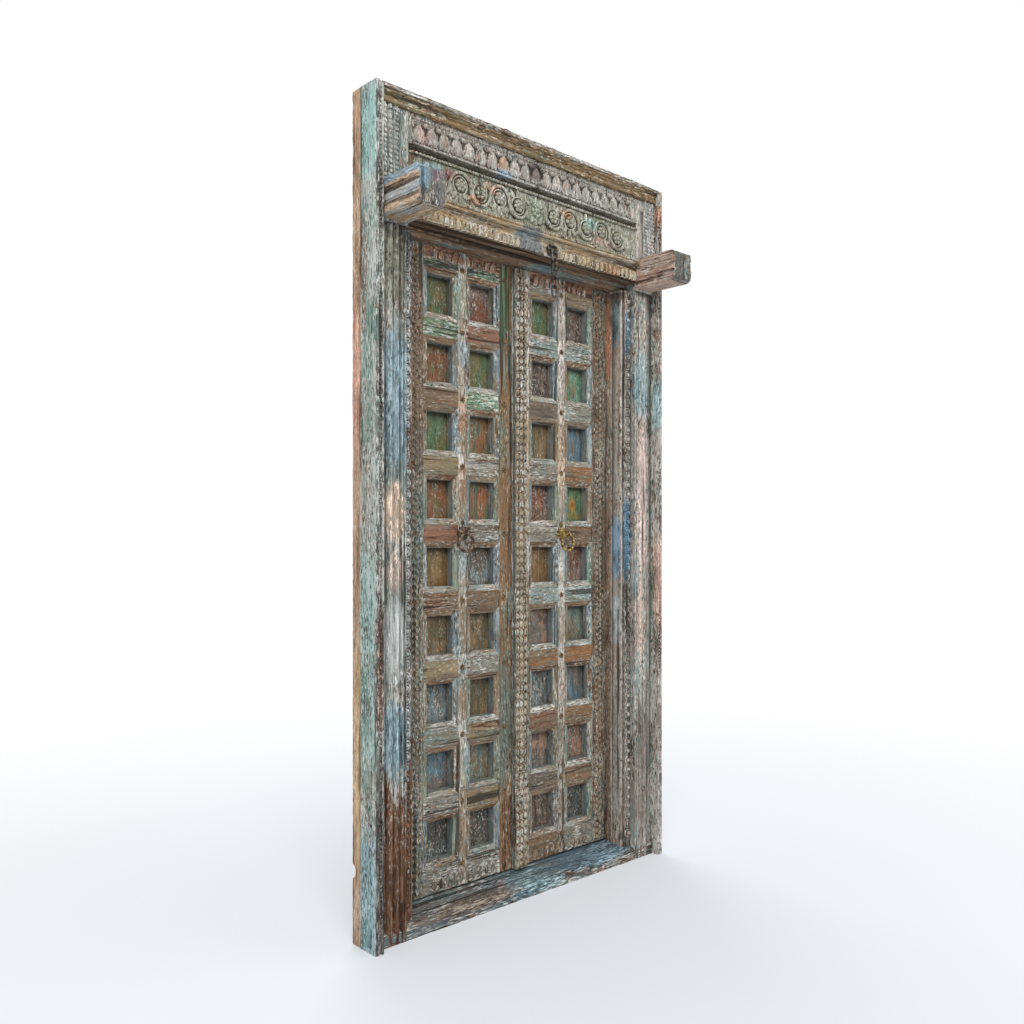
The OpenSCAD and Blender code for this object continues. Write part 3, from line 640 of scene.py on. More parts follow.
# The leaf frieze's ground is a darker copy of its carving's paint: grime and painted shade between
# the leaves
LEAF_GROUND = PaintFinish(
    "leaf_frieze_ground", BROWN, paint(158, 154, 143), paint(168, 163, 153), paint(110, 96, 86),
    CHALK, (0.7, 0.4, 0.36, 0.3), 10.0, squash=2.0, stains=UPPER_STAINS)
LEAF_CARVING = PaintFinish(
    "leaf_frieze_carving", BROWN, paint(174, 170, 159), paint(186, 181, 171), paint(144, 126, 116),
    CHALK, (0.76, 0.46, 0.4, 0.34), 14.0, stains=UPPER_STAINS)
LOWER_STAINS = (Stain((-0.235, 1.985), (0.03, 0.014), paint(168, 116, 90), 0.55),
                Stain((-0.175, 2.03), (0.028, 0.018), paint(164, 128, 108), 0.6),
                Stain((-0.385, 2.02), (0.05, 0.03), paint(118, 160, 174), 0.5),
                Stain((-0.33, 2.03), (0.02, 0.016), paint(126, 78, 78), 0.7),
                Stain((0.0, 2.01), (0.05, 0.04), paint(128, 140, 116), 0.5),
                Stain((0.13, 2.03), (0.034, 0.016), paint(146, 112, 76), 0.6),
                Stain((0.24, 2.025), (0.03, 0.02), paint(132, 170, 158), 0.5),
                Stain((0.3, 1.98), (0.06, 0.016), paint(170, 142, 128), 0.5))
# The vine frieze's ground is a darker copy of its carving's paint: grime and painted shade round
# the vine
VINE_GROUND = PaintFinish(
    "vine_frieze_ground", BROWN, paint(144, 145, 124), paint(156, 155, 134), paint(112, 100, 80),
    CHALK, (0.7, 0.4, 0.36, 0.28), 10.0, squash=2.0, stains=LOWER_STAINS)
VINE_CARVING = PaintFinish(
    "vine_frieze_carving", BROWN, paint(168, 168, 148), paint(178, 177, 158), paint(136, 126, 104),
    CHALK, (0.76, 0.46, 0.4, 0.32), 14.0, stains=LOWER_STAINS)
LINTEL_STAINS = (Stain((-0.03, 1.915), (0.06, 0.05), paint(92, 104, 110), 0.75),
                 Stain((0.32, 1.9), (0.05, 0.03), paint(150, 104, 62), 0.5))
LINTEL_PAINT = PaintFinish(
    "lintel_paint", BROWN, paint(178, 150, 110), paint(190, 172, 142), paint(148, 142, 122), CHALK,
    (0.7, 0.44, 0.38, 0.28), 9.0, Grain.ALONG, stains=LINTEL_STAINS)
LINTEL_CARVING = PaintFinish(
    "lintel_carving", BROWN, paint(180, 158, 122), paint(194, 180, 150), paint(144, 138, 116),
    CHALK, (0.74, 0.46, 0.38, 0.34), 12.0, stains=LINTEL_STAINS)
INNER_HEAD_PAINT = PaintFinish(
    "inner_head_paint", BROWN, paint(128, 100, 78), paint(98, 122, 122), paint(100, 86, 72),
    paint(176, 164, 146), (0.6, 0.38, 0.26, 0.1), 7.0, Grain.ALONG, fleck=0.5)
LEFT_BRACKET = PaintFinish(
    "left_bracket_paint", BROWN, paint(178, 146, 110), paint(190, 172, 146), paint(156, 160, 158),
    CHALK, (0.74, 0.4, 0.44, 0.26), 12.0, Grain.OUT, fleck=0.6,
    stains=(Stain((-0.546, 1.957), (0.4, 0.013), paint(120, 160, 182), 0.55),
            Stain((-0.546, 1.934), (0.4, 0.01), paint(190, 152, 118), 0.5),
            Stain((-0.546, 1.908), (0.4, 0.013), paint(170, 182, 190), 0.55),
            Stain((-0.546, 1.884), (0.4, 0.011), paint(192, 156, 122), 0.5)))
LEFT_BRACKET_TOP = PaintFinish(
    "left_bracket_top_paint", BROWN, paint(108, 150, 176), paint(150, 178, 190),
    paint(120, 140, 140), CHALK, (0.8, 0.4, 0.3, 0.3), 12.0, Grain.OUT)
LEFT_BRACKET_END = PaintFinish(
    "left_bracket_end_paint", GREY_WOOD, paint(128, 122, 110), paint(104, 98, 90),
    paint(142, 134, 120), CHALK, (0.7, 0.4, 0.3, 0.16), 14.0,
    stains=(Stain((-0.526, 1.938), (0.022, 0.04), paint(112, 148, 166), 0.7),
            Stain((-0.478, 1.9), (0.017, 0.03), paint(100, 100, 100), 0.75),
            Stain((-0.488, 1.944), (0.016, 0.016), paint(110, 94, 108), 0.7)))
RIGHT_BRACKET = PaintFinish(
    "right_bracket_paint", BROWN, paint(186, 148, 130), paint(200, 174, 158), paint(140, 128, 110),
    CHALK, (0.8, 0.5, 0.3, 0.24), 12.0, Grain.OUT, fleck=0.6)
RIGHT_BRACKET_END = PaintFinish(
    "right_bracket_end_paint", GREY_WOOD, paint(96, 96, 88), paint(84, 84, 80),
    paint(112, 116, 118), paint(172, 172, 166), (0.8, 0.5, 0.36, 0.12), 14.0)
THRESHOLD_PAINT = PaintFinish(
    "threshold_paint", BROWN, paint(106, 122, 128), paint(122, 112, 100), paint(88, 92, 92), CHALK,
    (0.62, 0.42, 0.4, 0.26), 7.0, Grain.ALONG, squash=0.6,
    stains=(Stain((0.3, 0.05), (0.2, 0.03), paint(84, 124, 146), 0.6),
            Stain((0.02, 0.03), (0.12, 0.03), paint(104, 146, 156), 0.5),
            Stain((-0.2, 0.03), (0.16, 0.016), paint(120, 98, 78), 0.6)))
STILE_PAINT = PaintFinish(
    "stile_paint", RED_BROWN, paint(150, 132, 106), paint(164, 156, 138), paint(122, 138, 134),
    CHALK, (0.66, 0.42, 0.4, 0.32), 9.0,
    stains=(Stain((-0.2, 1.73), (0.1, 0.06), paint(150, 160, 144), 0.45, 4.0),
            Stain((-0.2, 1.58), (0.1, 0.045), paint(126, 148, 162), 0.5, 4.0),
            Stain((-0.2, 1.4), (0.1, 0.06), paint(152, 108, 76), 0.5, 4.0),
            Stain((-0.2, 1.2), (0.1, 0.05), paint(142, 102, 74), 0.5, 4.0),
            Stain((-0.2, 0.98), (0.1, 0.04), paint(120, 146, 156), 0.45, 4.0)))
RIGHT_STILE = PaintFinish(
    "right_stile_paint", RED_BROWN, paint(150, 136, 116), paint(170, 162, 148),
    paint(124, 130, 126), CHALK, (0.7, 0.44, 0.4, 0.34), 9.0,
    stains=(Stain((0.2, 1.66), (0.4, 0.18), paint(184, 174, 166), 0.55, 4.0),
            Stain((0.2, 1.32), (0.4, 0.14), paint(168, 142, 110), 0.5, 4.0),
            Stain((0.2, 1.0), (0.4, 0.06), paint(186, 188, 184), 0.5),
            Stain((0.2, 0.3), (0.4, 0.28), paint(118, 108, 94), 0.55)))
MEETING_PAINT = PaintFinish(
    "meeting_stile_paint", RED_BROWN, paint(124, 94, 64), paint(112, 106, 78), paint(110, 128, 114),
    paint(180, 168, 146), (0.66, 0.34, 0.32, 0.12), 6.0,
    stains=(Stain((-0.066, 1.74), (0.05, 0.13), paint(108, 146, 98), 0.6, 4.6),
            Stain((-0.066, 1.34), (0.03, 0.1), paint(104, 136, 112), 0.5, 4.6),
            Stain((-0.05, 0.5), (0.05, 0.2), paint(106, 134, 128), 0.6)))
BORDER_PAINT = PaintFinish(
    "border_paint", RED_BROWN, paint(114, 98, 80), paint(132, 122, 106), paint(98, 106, 102),
    paint(190, 182, 166), (0.62, 0.4, 0.36, 0.22), 12.0)
# The carving is a lighter copy of the border's paint: wear and painted light on the raised beads
BORDER_CARVING = PaintFinish(
    "border_carving", RED_BROWN, paint(138, 120, 98), paint(154, 142, 124), paint(108, 108, 100),
    paint(200, 192, 176), (0.66, 0.4, 0.36, 0.32), 14.0)
LEFT_BORDER = PaintFinish(
    "left_border_paint", GREY_WOOD, paint(122, 116, 98), paint(136, 130, 114), paint(104, 116, 112),
    CHALK, (0.66, 0.42, 0.4, 0.2), 10.0,
    stains=(Stain((-0.35, 1.5), (0.3, 0.3), paint(120, 92, 70), 0.6),))
LEFT_BORDER_CARVING = PaintFinish(
    "left_border_carving", GREY_WOOD, paint(128, 120, 102), paint(140, 134, 118),
    paint(108, 118, 114), CHALK, (0.66, 0.42, 0.4, 0.18), 10.0, stains=LEFT_BORDER.stains)
TOP_STAINS = (Stain((0.0, 1.856), (10.0, 0.03), paint(134, 96, 76), 0.9, 1.2),)
TOP_BAND = PaintFinish(
    "top_band_paint", RED_BROWN, paint(160, 118, 92), paint(176, 146, 122), paint(120, 96, 78),
    CHALK, (0.7, 0.4, 0.3, 0.28), 14.0)
# Slopes facing up are painted lighter as if lit from above, and slopes facing down darker as
# painted shade
SLOPE_UP_LIT = PaintFinish(
    "slope_up_lit_paint", BROWN, paint(158, 154, 142), paint(142, 152, 142), paint(132, 116, 94), CHALK,
    (0.74, 0.42, 0.44, 0.36), 12.0, Grain.ALONG)
SLOPE_DOWN_SHADED = PaintFinish(
    "slope_down_shaded_paint", RED_BROWN, paint(122, 98, 74), paint(138, 122, 100), paint(108, 102, 86),
    paint(190, 182, 166), (0.66, 0.4, 0.34, 0.14), 12.0, Grain.ALONG)
SLOPE_BLUE = PaintFinish(
    "slope_blue_paint", BROWN, paint(118, 136, 142), paint(146, 152, 150), paint(124, 110, 90),
    CHALK, (0.72, 0.42, 0.42, 0.26), 12.0)
SLOPE_BROWN = PaintFinish(
    "slope_brown_paint", RED_BROWN, paint(136, 116, 90), paint(150, 142, 124), paint(112, 126, 122),
    CHALK, (0.66, 0.42, 0.36, 0.24), 12.0)
SLOPE_GREEN = PaintFinish(
    "slope_green_paint", BROWN, paint(116, 138, 122), paint(140, 146, 132), paint(120, 106, 82),
    CHALK, (0.72, 0.42, 0.4, 0.24), 12.0)
CELL_WALL = PaintFinish(
    "cell_wall_paint", BROWN, paint(116, 128, 130), paint(132, 130, 116), paint(96, 90, 78),
    paint(184, 184, 174), (0.8, 0.44, 0.3, 0.12), 16.0, fleck=0.6)
ASTRAGAL_PAINT = PaintFinish(
    "astragal_paint", BROWN, paint(142, 122, 96), paint(156, 140, 116), paint(116, 106, 88), CHALK,
    (0.66, 0.42, 0.36, 0.16), 11.0)
# The carving is a lighter copy of the astragal's paint: wear and painted light on the raised beads
ASTRAGAL_CARVING = PaintFinish(
    "astragal_carving", BROWN, paint(168, 150, 122), paint(184, 172, 150), paint(146, 146, 130),
    CHALK, (0.76, 0.46, 0.36, 0.34), 11.0)
ASTRAGAL_SIDE = PaintFinish(
    "astragal_side_paint", BROWN, paint(96, 116, 112), paint(116, 128, 122), paint(98, 86, 72),
    CHALK, (0.7, 0.4, 0.36, 0.16), 9.0)
IRON = MetalFinish("old_iron", paint(132, 112, 92), paint(74, 60, 50), 0.55, 0.5, 0.6)
CHAIN_IRON = MetalFinish("chain_iron", paint(112, 106, 98), paint(60, 53, 48), 0.55, 0.5, 0.6)
BRASS = MetalFinish("old_brass", paint(178, 152, 94), paint(104, 84, 54), 0.5, 0.42)
STUD_METAL = MetalFinish("stud_bronze", paint(150, 124, 90), paint(96, 80, 62), 0.5, 0.5, 0.5)


class PanelPaint(Enum):
    """Colours of a panel's old paint: the main one, and two that show in patches."""

    GREEN = (paint(82, 112, 76), paint(92, 112, 80), paint(108, 98, 62))
    LEAF = (paint(92, 112, 88), paint(126, 98, 66), paint(150, 92, 60))
    RUST = (paint(144, 90, 56), paint(128, 88, 60), paint(104, 96, 66))
    OCHRE = (paint(126, 92, 50), paint(108, 92, 58), paint(136, 108, 74))
    OLIVE = (paint(112, 100, 70), paint(96, 88, 64), paint(132, 108, 78))
    TEAL = (paint(96, 122, 114), paint(118, 126, 112), paint(112, 94, 72))
    BLUE = (paint(94, 108, 110), paint(92, 126, 138), paint(112, 98, 86))
    WASHED = (paint(120, 108, 94), paint(90, 74, 62), paint(124, 136, 136))
    PINK = (paint(172, 132, 108), paint(112, 112, 104), paint(92, 80, 70))
    GREY = (paint(104, 106, 98), paint(84, 80, 70), paint(112, 124, 128))
    DARK = (paint(72, 60, 52), paint(94, 80, 68), paint(118, 100, 88))
    SLATE = (paint(74, 82, 80), paint(98, 96, 86), paint(66, 60, 54))
    MINT = (paint(86, 134, 104), paint(112, 146, 128), paint(120, 114, 80))
    EMBER = (paint(136, 84, 54), paint(92, 68, 56), paint(134, 116, 104))

    def finish(self) -> PaintFinish:
        """Gives the paint finish of a panel in these colours.

        Returns:
            The finish.
        """
        main, above, rare = self.value
        worn = self in (PanelPaint.GREY, PanelPaint.DARK, PanelPaint.WASHED, PanelPaint.SLATE,
                        PanelPaint.EMBER)
        chalk, fleck = (0.2, 0.7) if worn else (0.13, 0.34)
        return PaintFinish(f"panel_{self.name.lower()}", RED_BROWN, main, above, rare, CHALK,
                           (0.8, 0.52, 0.46, chalk), 15.0, squash=1.8, soft=0.05, crack=0.35,
                           fleck=fleck)


FLOWER_PANEL = PaintFinish(
    "panel_with_flower", RED_BROWN, paint(80, 118, 84), paint(96, 122, 92), paint(120, 116, 70),
    CHALK, (0.84, 0.46, 0.4, 0.1), 15.0, squash=2.6, soft=0.075, crack=0.2, fleck=0.2,
    stains=(Stain((0.284, 1.156), (0.017, 0.022), paint(184, 128, 62), 0.85, 1.2),
            Stain((0.284, 1.158), (0.007, 0.009), paint(138, 78, 42), 0.8, 0.8),
            Stain((0.29, 1.122), (0.034, 0.014), paint(140, 126, 66), 0.7)))


class RailPaint(Enum):
    """Colours of the paint left on one block of a rail: the main one, and one in patches."""

    GREEN = (paint(104, 136, 104), paint(132, 150, 126))
    BROWN = (paint(128, 100, 74), paint(112, 92, 72))
    RED = (paint(138, 98, 76), paint(124, 104, 84))
    TAN = (paint(146, 126, 96), paint(126, 120, 92))
    GREY = (paint(134, 132, 120), paint(112, 104, 90))
    PALE = (paint(162, 160, 150), paint(126, 120, 104))
    TEAL = (paint(134, 152, 146), paint(128, 124, 106))
    RUST = (paint(142, 102, 66), paint(124, 98, 72))
    DARK = (paint(104, 96, 84), paint(116, 96, 76))

    def finish(self) -> PaintFinish:
        """Gives the paint finish of a block in these colours.

        Returns:
            The finish.
        """
        main, above = self.value
        pale = self in (RailPaint.PALE, RailPaint.TEAL, RailPaint.GREY, RailPaint.GREEN)
        chalk, fleck = (0.3, 1.0) if pale else (0.16, 0.45)
        return PaintFinish(f"rail_{self.name.lower()}", RED_BROWN, main, above,
                           paint(112, 106, 88), CHALK, (0.72, 0.42, 0.36, chalk), 11.0,
                           Grain.ALONG, fleck=fleck)


# Tools for making pieces


def take_up(piece: bpy.types.Object) -> None:
    """Makes a piece the only one selected, and active.

    Args:
        piece: The piece.
    """
    bpy.ops.object.select_all(action="DESELECT")
    piece.select_set(True)
    bpy.context.view_layer.objects.active = piece


def open_up(piece: bpy.types.Object) -> None:
    """Opens a piece in edit mode with all of it selected.

    Args:
        piece: The piece.
    """
    take_up(piece)
    bpy.ops.object.mode_set(mode="EDIT")
    bpy.ops.mesh.select_all(action="SELECT")


def face_outwards(piece: bpy.types.Object) -> None:
    """Turns the faces of a closed shell outwards.

    Args:
        piece: The shell.
    """
    open_up(piece)
    bpy.ops.mesh.normals_make_consistent(inside=False)
    bpy.ops.object.mode_set(mode="OBJECT")


def cut_off(piece: bpy.types.Object, place: Vector, outward: Vector) -> None:
    """Cuts off what lies beyond a plane, and closes the cut.

    Args:
        piece: The piece.
        place: Point on the cut.
        outward: Direction of what is lost.
    """
    open_up(piece)
    bpy.ops.mesh.bisect(plane_co=place, plane_no=outward, use_fill=True, clear_outer=True)
    bpy.ops.object.mode_set(mode="OBJECT")


def thicken(piece: bpy.types.Object, thickness: float) -> None:
    """Makes a closed shell of a sheet.

    Args:
        piece: The sheet.
        thickness: Its thickness, towards its back.
    """
    thick = piece.modifiers.new("thick", "SOLIDIFY")
    thick.thickness = thickness
    thick.offset = -1
    take_up(piece)
    bpy.ops.object.modifier_apply(modifier=thick.name)
    face_outwards(piece)


def settle(piece: bpy.types.Object) -> None:
    """Shades a finished piece smooth between its sharp edges.

    Args:
        piece: The piece.
    """
    take_up(piece)
    bpy.ops.object.shade_smooth_by_angle(angle=SHARP_ANGLE)


def dress(piece: bpy.types.Object, finishes: Sequence[Finish],
          choose: Choice | None = None) -> None:
    """Gives a piece its finishes.

    Args:
        piece: The piece.
        finishes: Its finishes, in the order of its material slots.
        choose: Gives the finish of a face from its centre and normal, else it is the first one.
    """
    mesh = piece.data
    mesh.materials.clear()
    for finish in finishes:
        mesh.materials.append(finish.material())
    slots = {finish.name: slot for slot, finish in enumerate(finishes)}
    for face in mesh.polygons:
        face.material_index = slots[choose(face.center, face.normal).name] if choose else 0


@dataclass(frozen=True)
class Seat:
    """Body that carries a piece, and the name of the slot of its finish."""

    body: str
    slot: str


JAMB_SEAT = Seat("frame", "jamb_paint")
TRIM_SEAT = Seat("frame", "trim_paint")
BARE_SEAT = Seat("frame", "bare_wood")
BRACKET_SEAT = Seat("frame", "bracket_paint")
HEAD_SEAT = Seat("frame", "head_paint")
FRIEZE_SEAT = Seat("frame", "frieze_paint")
FRAME_SEAT = Seat("frame", "frame_paint")
STAPLE_SEAT = Seat("frame", "iron")
ASTRAGAL_SEAT = Seat("right_leaf", "astragal_wood")


def stand(piece: bpy.types.Object, seat: Seat, *nodes: str) -> None:
    """Lets a finished piece ride on its body and stand for its nodes.

    Args:
        piece: The finished piece.
        seat: Body that carries it, and slot of its finish.
        nodes: Nodes that it stands for.
    """
    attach(piece, seat.body)
    if nodes:
        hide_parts(*nodes)
    LOG.info("%s on %s: %d faces", piece.name, seat.body, len(piece.data.polygons))


def cloud(name: str, size: float, contrast: float = 1.0) -> bpy.types.Texture:
    """Gives a cloudy texture that makes surfaces uneven.

    Args:
        name: Name of the texture.
        size: Size of its clouds in metres.
        contrast: How strongly it swings.

    Returns:
        The texture.
    """
    if name in bpy.data.textures:
        return bpy.data.textures[name]
    made = bpy.data.textures.new(name, "CLOUDS")
    made.noise_scale = size
    made.noise_depth = 3
    made.contrast = contrast
    made.use_clamp = True
    return made


def planed() -> bpy.types.Texture:
    """Gives the broad swings of a face that was planed by hand."""
    return cloud("planed", 45 * MM)


def chipped() -> bpy.types.Texture:
    """Gives the short hard swings of a chipped edge."""
    return cloud("chipped", 16 * MM, 3.2)


def uneven(piece: bpy.types.Object, texture: bpy.types.Texture, strength: float,
           middle: float = 0.5, group: str = "") -> None:
    """Moves a piece's points in and out by a texture.

    Args:
        piece: The piece.
        texture: Texture to follow.
        strength: Height of the whole swing in metres.
        middle: Value of the texture that leaves a point in place.
        group: Vertex group that limits it.
    """
    modifier = piece.modifiers.new("uneven", "DISPLACE")
    modifier.texture = texture
    modifier.texture_coords = "LOCAL"
    modifier.strength = strength
    modifier.mid_level = middle
    modifier.vertex_group = group
    take_up(piece)
    bpy.ops.object.modifier_apply(modifier=modifier.name)


@dataclass(frozen=True)
class Wear:
    """How a timber is worn: the axis of its grain and the pitch of its cuts, then the radius of
    its arrises, how hollow its faces are and how deep its chips. Carved pieces keep all facets."""

    axis: int
    cut: float
    arris: float
    hollow: float
    chip: float
    merge_flats: bool = True


TIMBER = Wear(0, 9 * MM, 1.6 * MM, 1.6 * MM, 2.2 * MM)
UPRIGHT = Wear(2, 11 * MM, 1.4 * MM, 1.4 * MM, 1.7 * MM)
CARVED = Wear(0, 16 * MM, 0.0, 1.2 * MM, 0.0, False)
POST = Wear(2, 14 * MM, 0.0, 2.2 * MM, 0.0, False)
BEAM = Wear(0, 24 * MM, 2.0 * MM, 2.4 * MM, 3.0 * MM)
PLANK = Wear(2, 26 * MM, 1.6 * MM, 1.2 * MM, 1.2 * MM)
BEAM_END = Wear(1, 9 * MM, 2.0 * MM, 2.4 * MM, 4.0 * MM)
TRODDEN = Wear(0, 12 * MM, 2.0 * MM, 2.4 * MM, 1.4 * MM)
CARVED_STRIP = Wear(2, 400 * MM, 0.0, 1.2 * MM, 0.0, False)
PLANED_LEVEL = 0.62


def cut_up(piece: bpy.types.Object, wear: Wear, low: float, high: float,
           marks: Sequence[float]) -> None:
    """Merges the loose triangles of a copy and cuts it across the grain.

    Args:
        piece: The copy.
        wear: How it is worn.
        low: Where it starts along the grain.
        high: Where it ends.
        marks: Places along the grain that get a cut of their own.
    """
    take_up(piece)
    bpy.ops.mesh.customdata_custom_splitnormals_clear()
    open_up(piece)
    bpy.ops.mesh.remove_doubles(threshold=0.02 * MM)
    if wear.merge_flats:
        bpy.ops.mesh.dissolve_limited(angle_limit=FLAT_ANGLE)
    count = max(2, round((high - low) / wear.cut))
    across = Vector((0, 0, 0))
    across[wear.axis] = 1
    for cut in (*(low + (high - low) * index / count for index in range(1, count)), *marks):
        bpy.ops.mesh.select_all(action="SELECT")
        bpy.ops.mesh.bisect(plane_co=across * cut, plane_no=across)
    bpy.ops.object.mode_set(mode="OBJECT")


def round_arrises(piece: bpy.types.Object, radius: float) -> None:
    """Rounds the arrises of a piece, with its second material slot on them.

    Args:
        piece: The piece.
        radius: Width of the rounding.
    """
    bevel = piece.modifiers.new("arris", "BEVEL")
    bevel.width = radius
    bevel.segments = 2
    bevel.limit_method = "ANGLE"
    bevel.angle_limit = ARRIS_ANGLE
    bevel.material = 1
    bpy.ops.object.modifier_apply(modifier=bevel.name)


def worn_copy(node: str, wear: Wear, marks: Sequence[float] = ()) -> bpy.types.Object:
    """Copies a node's shape and wears it, except for pins and sockets of the leaves' pivots.

    Args:
        node: Name of the node.
        wear: How it is worn.
        marks: Places along the grain that get a cut of their own.

    Returns:
        The new piece, at the node's place.
    """
    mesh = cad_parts[node].data.copy()
    mesh.materials.clear()
    mesh.materials.append(None)
    mesh.materials.append(None)
    piece = bpy.data.objects.new(f"{node}_worn", mesh)
    bpy.context.scene.collection.objects.link(piece)
    low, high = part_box(node)
    cut_up(piece, wear, low[wear.axis], high[wear.axis], marks)
    if wear.arris:
        round_arrises(piece, wear.arris)
    rounded = [face.material_index == 1 for face in mesh.polygons]
    arris = mesh.attributes.new("arris", "FLOAT", "FACE")
    arris.data.foreach_set("value", [float(edge) for edge in rounded])
    unworn = {v.index: v.co.copy() for v in mesh.vertices
              if math.hypot(abs(v.co.x) - PIVOT[0], v.co.y - PIVOT[1]) < PIVOT_REACH}
    uneven(piece, planed(), wear.hollow, PLANED_LEVEL)
    if wear.chip and any(rounded):
        edge = piece.vertex_groups.new(name="arris")
        edge.add(sorted({v for face, on in zip(mesh.polygons, rounded) if on
                         for v in face.vertices}), 1.0, "ADD")
        uneven(piece, chipped(), wear.chip, 1.0, "arris")
    for vertex in mesh.vertices:
        vertex.co = unworn.get(vertex.index, vertex.co)
        vertex.co.z = max(vertex.co.z, low.z)
    # Grooves of carved pieces get painted shade, and ridges chalk, through the hollow attribute
    if not wear.merge_flats:
        feel_hollows(mesh)
    settle(piece)
    return piece


def timber(node: str, wear: Wear, seat: Seat, finishes: Sequence[Finish],
           choose: Choice | None = None, marks: Sequence[float] = ()) -> None:
    """Makes the worn piece that stands for a node, and dresses it.

    Args:
        node: Name of the node.
        wear: How it is worn.
        seat: Body that carries it, and slot of its finish.
        finishes: Its finishes.
        choose: Gives the finish of a face.
        marks: Places along the grain that get a cut of their own.
    """
    piece = worn_copy(node, wear, marks)
    dress(piece, finishes, choose)
    stand(piece, seat, node)


def feel_hollows(mesh: bpy.types.Mesh) -> None:
    """Stores how hollow a mesh is at each point: above 0 in a groove, below 0 on a ridge. Grooves
    get painted shade from it.

    Args:
        mesh: The mesh, which gets the attribute.
    """
    total = [0.0] * len(mesh.vertices)
    count = [0] * len(mesh.vertices)
    for line in mesh.edges:
        for here, there in (tuple(line.vertices), tuple(reversed(line.vertices))):
            way = mesh.vertices[there].co - mesh.vertices[here].co
            if way.length > 0.05 * MM:
                total[here] += way.normalized().dot(mesh.vertices[here].normal)
                count[here] += 1
    hollow = mesh.attributes.new("hollow", "FLOAT", "POINT")
    hollow.data.foreach_set("value", [part / max(1, lines) for part, lines in zip(total, count)])


def shade_and_soil(piece: bpy.types.Object, dirt_and_shade: Callable[[int, Vector], float]) -> None:
    """Stores where painted shade and grime lie on a piece, as if it were hollow there.

    Args:
        piece: The piece.
        dirt_and_shade: Gives the amount of painted shade and grime from the number and the place of
            a point.
    """
    hollow = piece.data.attributes.new("hollow", "FLOAT", "POINT")
    hollow.data.foreach_set("value", [dirt_and_shade(v.index, v.co) for v in piece.data.vertices])


# Carving


@dataclass(frozen=True)
class Ornament:
    """Small carved shape that is modelled once and copied."""

    points: tuple[Vector, ...]
    faces: tuple[tuple[int, ...], ...]

    @classmethod
    def lifted(cls, piece: bpy.types.Object) -> "Ornament":
        """Takes the shape of a modelled piece and removes the piece.

        Args:
            piece: The piece.

        Returns:
            Its shape.
        """
        mesh = piece.data
        made = cls(tuple(v.co.copy() for v in mesh.vertices),
                   tuple(tuple(f.vertices) for f in mesh.polygons))
        bpy.data.objects.remove(piece)
        return made


Placed = tuple[Ornament, Matrix]


def copies(name: str, placed: Sequence[Placed]) -> bpy.types.Object:
    """Makes one piece of many copies of ornaments.

    Args:
        name: Name of the piece.
        placed: Each ornament with its place.

    Returns:
        The piece.
    """
    points: list[Vector] = []
    faces: list[tuple[int, ...]] = []
    for ornament, place in placed:
        first = len(points)
        points.extend(place @ point for point in ornament.points)
        faces.extend(tuple(first + index for index in face) for face in ornament.faces)
    mesh = bpy.data.meshes.new(name)
    mesh.from_pydata(points, [], faces)
    piece = bpy.data.objects.new(name, mesh)
    bpy.context.scene.collection.objects.link(piece)
    settle(piece)
    return piece


def carve(name: str, parts: Sequence[Placed], seat: Seat, finishes: Sequence[Finish],
          choose: Choice | None = None, nodes: Sequence[str] = ()) -> None:
    """Makes a piece of carved ornaments, and dresses it.

    Args:
        name: Name of the piece.
        parts: Its ornaments with their places.
        seat: Body that carries it, and slot of its finish.
        finishes: Its finishes.
        choose: Gives the finish of a face.
        nodes: Nodes that it stands for.
    """
    piece = copies(name, parts)
    dress(piece, finishes, choose)
    stand(piece, seat, *nodes)


def bead(width: float, height: float, rise: float, segments: int = 8, rings: int = 6) -> Ornament:
    """Models a half-round bead that looks to the front.

    Args:
        width: Its width.
        height: Its height.
        rise: How far it stands out.
        segments: Faces round it.
        rings: Rings from pole to pole.

    Returns:
        The bead, with its back at the origin.
    """
    bpy.ops.object.select_all(action="DESELECT")
    bpy.ops.mesh.primitive_uv_sphere_add(segments=segments, ring_count=rings, radius=1.0)
    piece = bpy.context.object
    piece.data.transform(Matrix.Rotation(math.pi / 2, 4, "X"))
    piece.data.transform(Matrix.Diagonal((width / 2, rise, height / 2, 1)))
    cut_off(piece, Vector((0, rise * 0.2, 0)), Vector((0, 1, 0)))
    face_outwards(piece)
    return Ornament.lifted(piece)


def dot_bead(width: float, height: float, rise: float) -> Ornament:
    """Models a small bead with few faces, for long rows."""
    return bead(width, height, rise, 6, 5)


def leaflet(width: float, height: float, rise: float) -> Ornament:
    """Models a pointed leaf with a sunk midrib that looks to the front.

    Args:
        width: Its width.
        height: Its height.
        rise: How far its halves swell.

    Returns:
        The leaf, with its foot and tip along Z.
    """
    bpy.ops.object.select_all(action="DESELECT")
    bpy.ops.mesh.primitive_grid_add(x_subdivisions=6, y_subdivisions=8, size=2.0)
    piece = bpy.context.object
    for vertex in piece.data.vertices:
        side, along = vertex.co.x, (vertex.co.y + 1) / 2
        swell = math.sin(math.pi * min(1.0, along ** 0.75 * 0.97 + 0.015)) ** 0.8
        lobes = 1 + 0.14 * math.cos(along * 6 * math.pi)
        crown = (1 - abs(side) ** 2.2) * (0.5 + 0.5 * min(1.0, abs(side) * 3)) * swell
        vertex.co = (side * width / 2 * swell * lobes, -rise * crown, height * (along - 0.5))
    thicken(piece, rise * 0.7)
    return Ornament.lifted(piece)


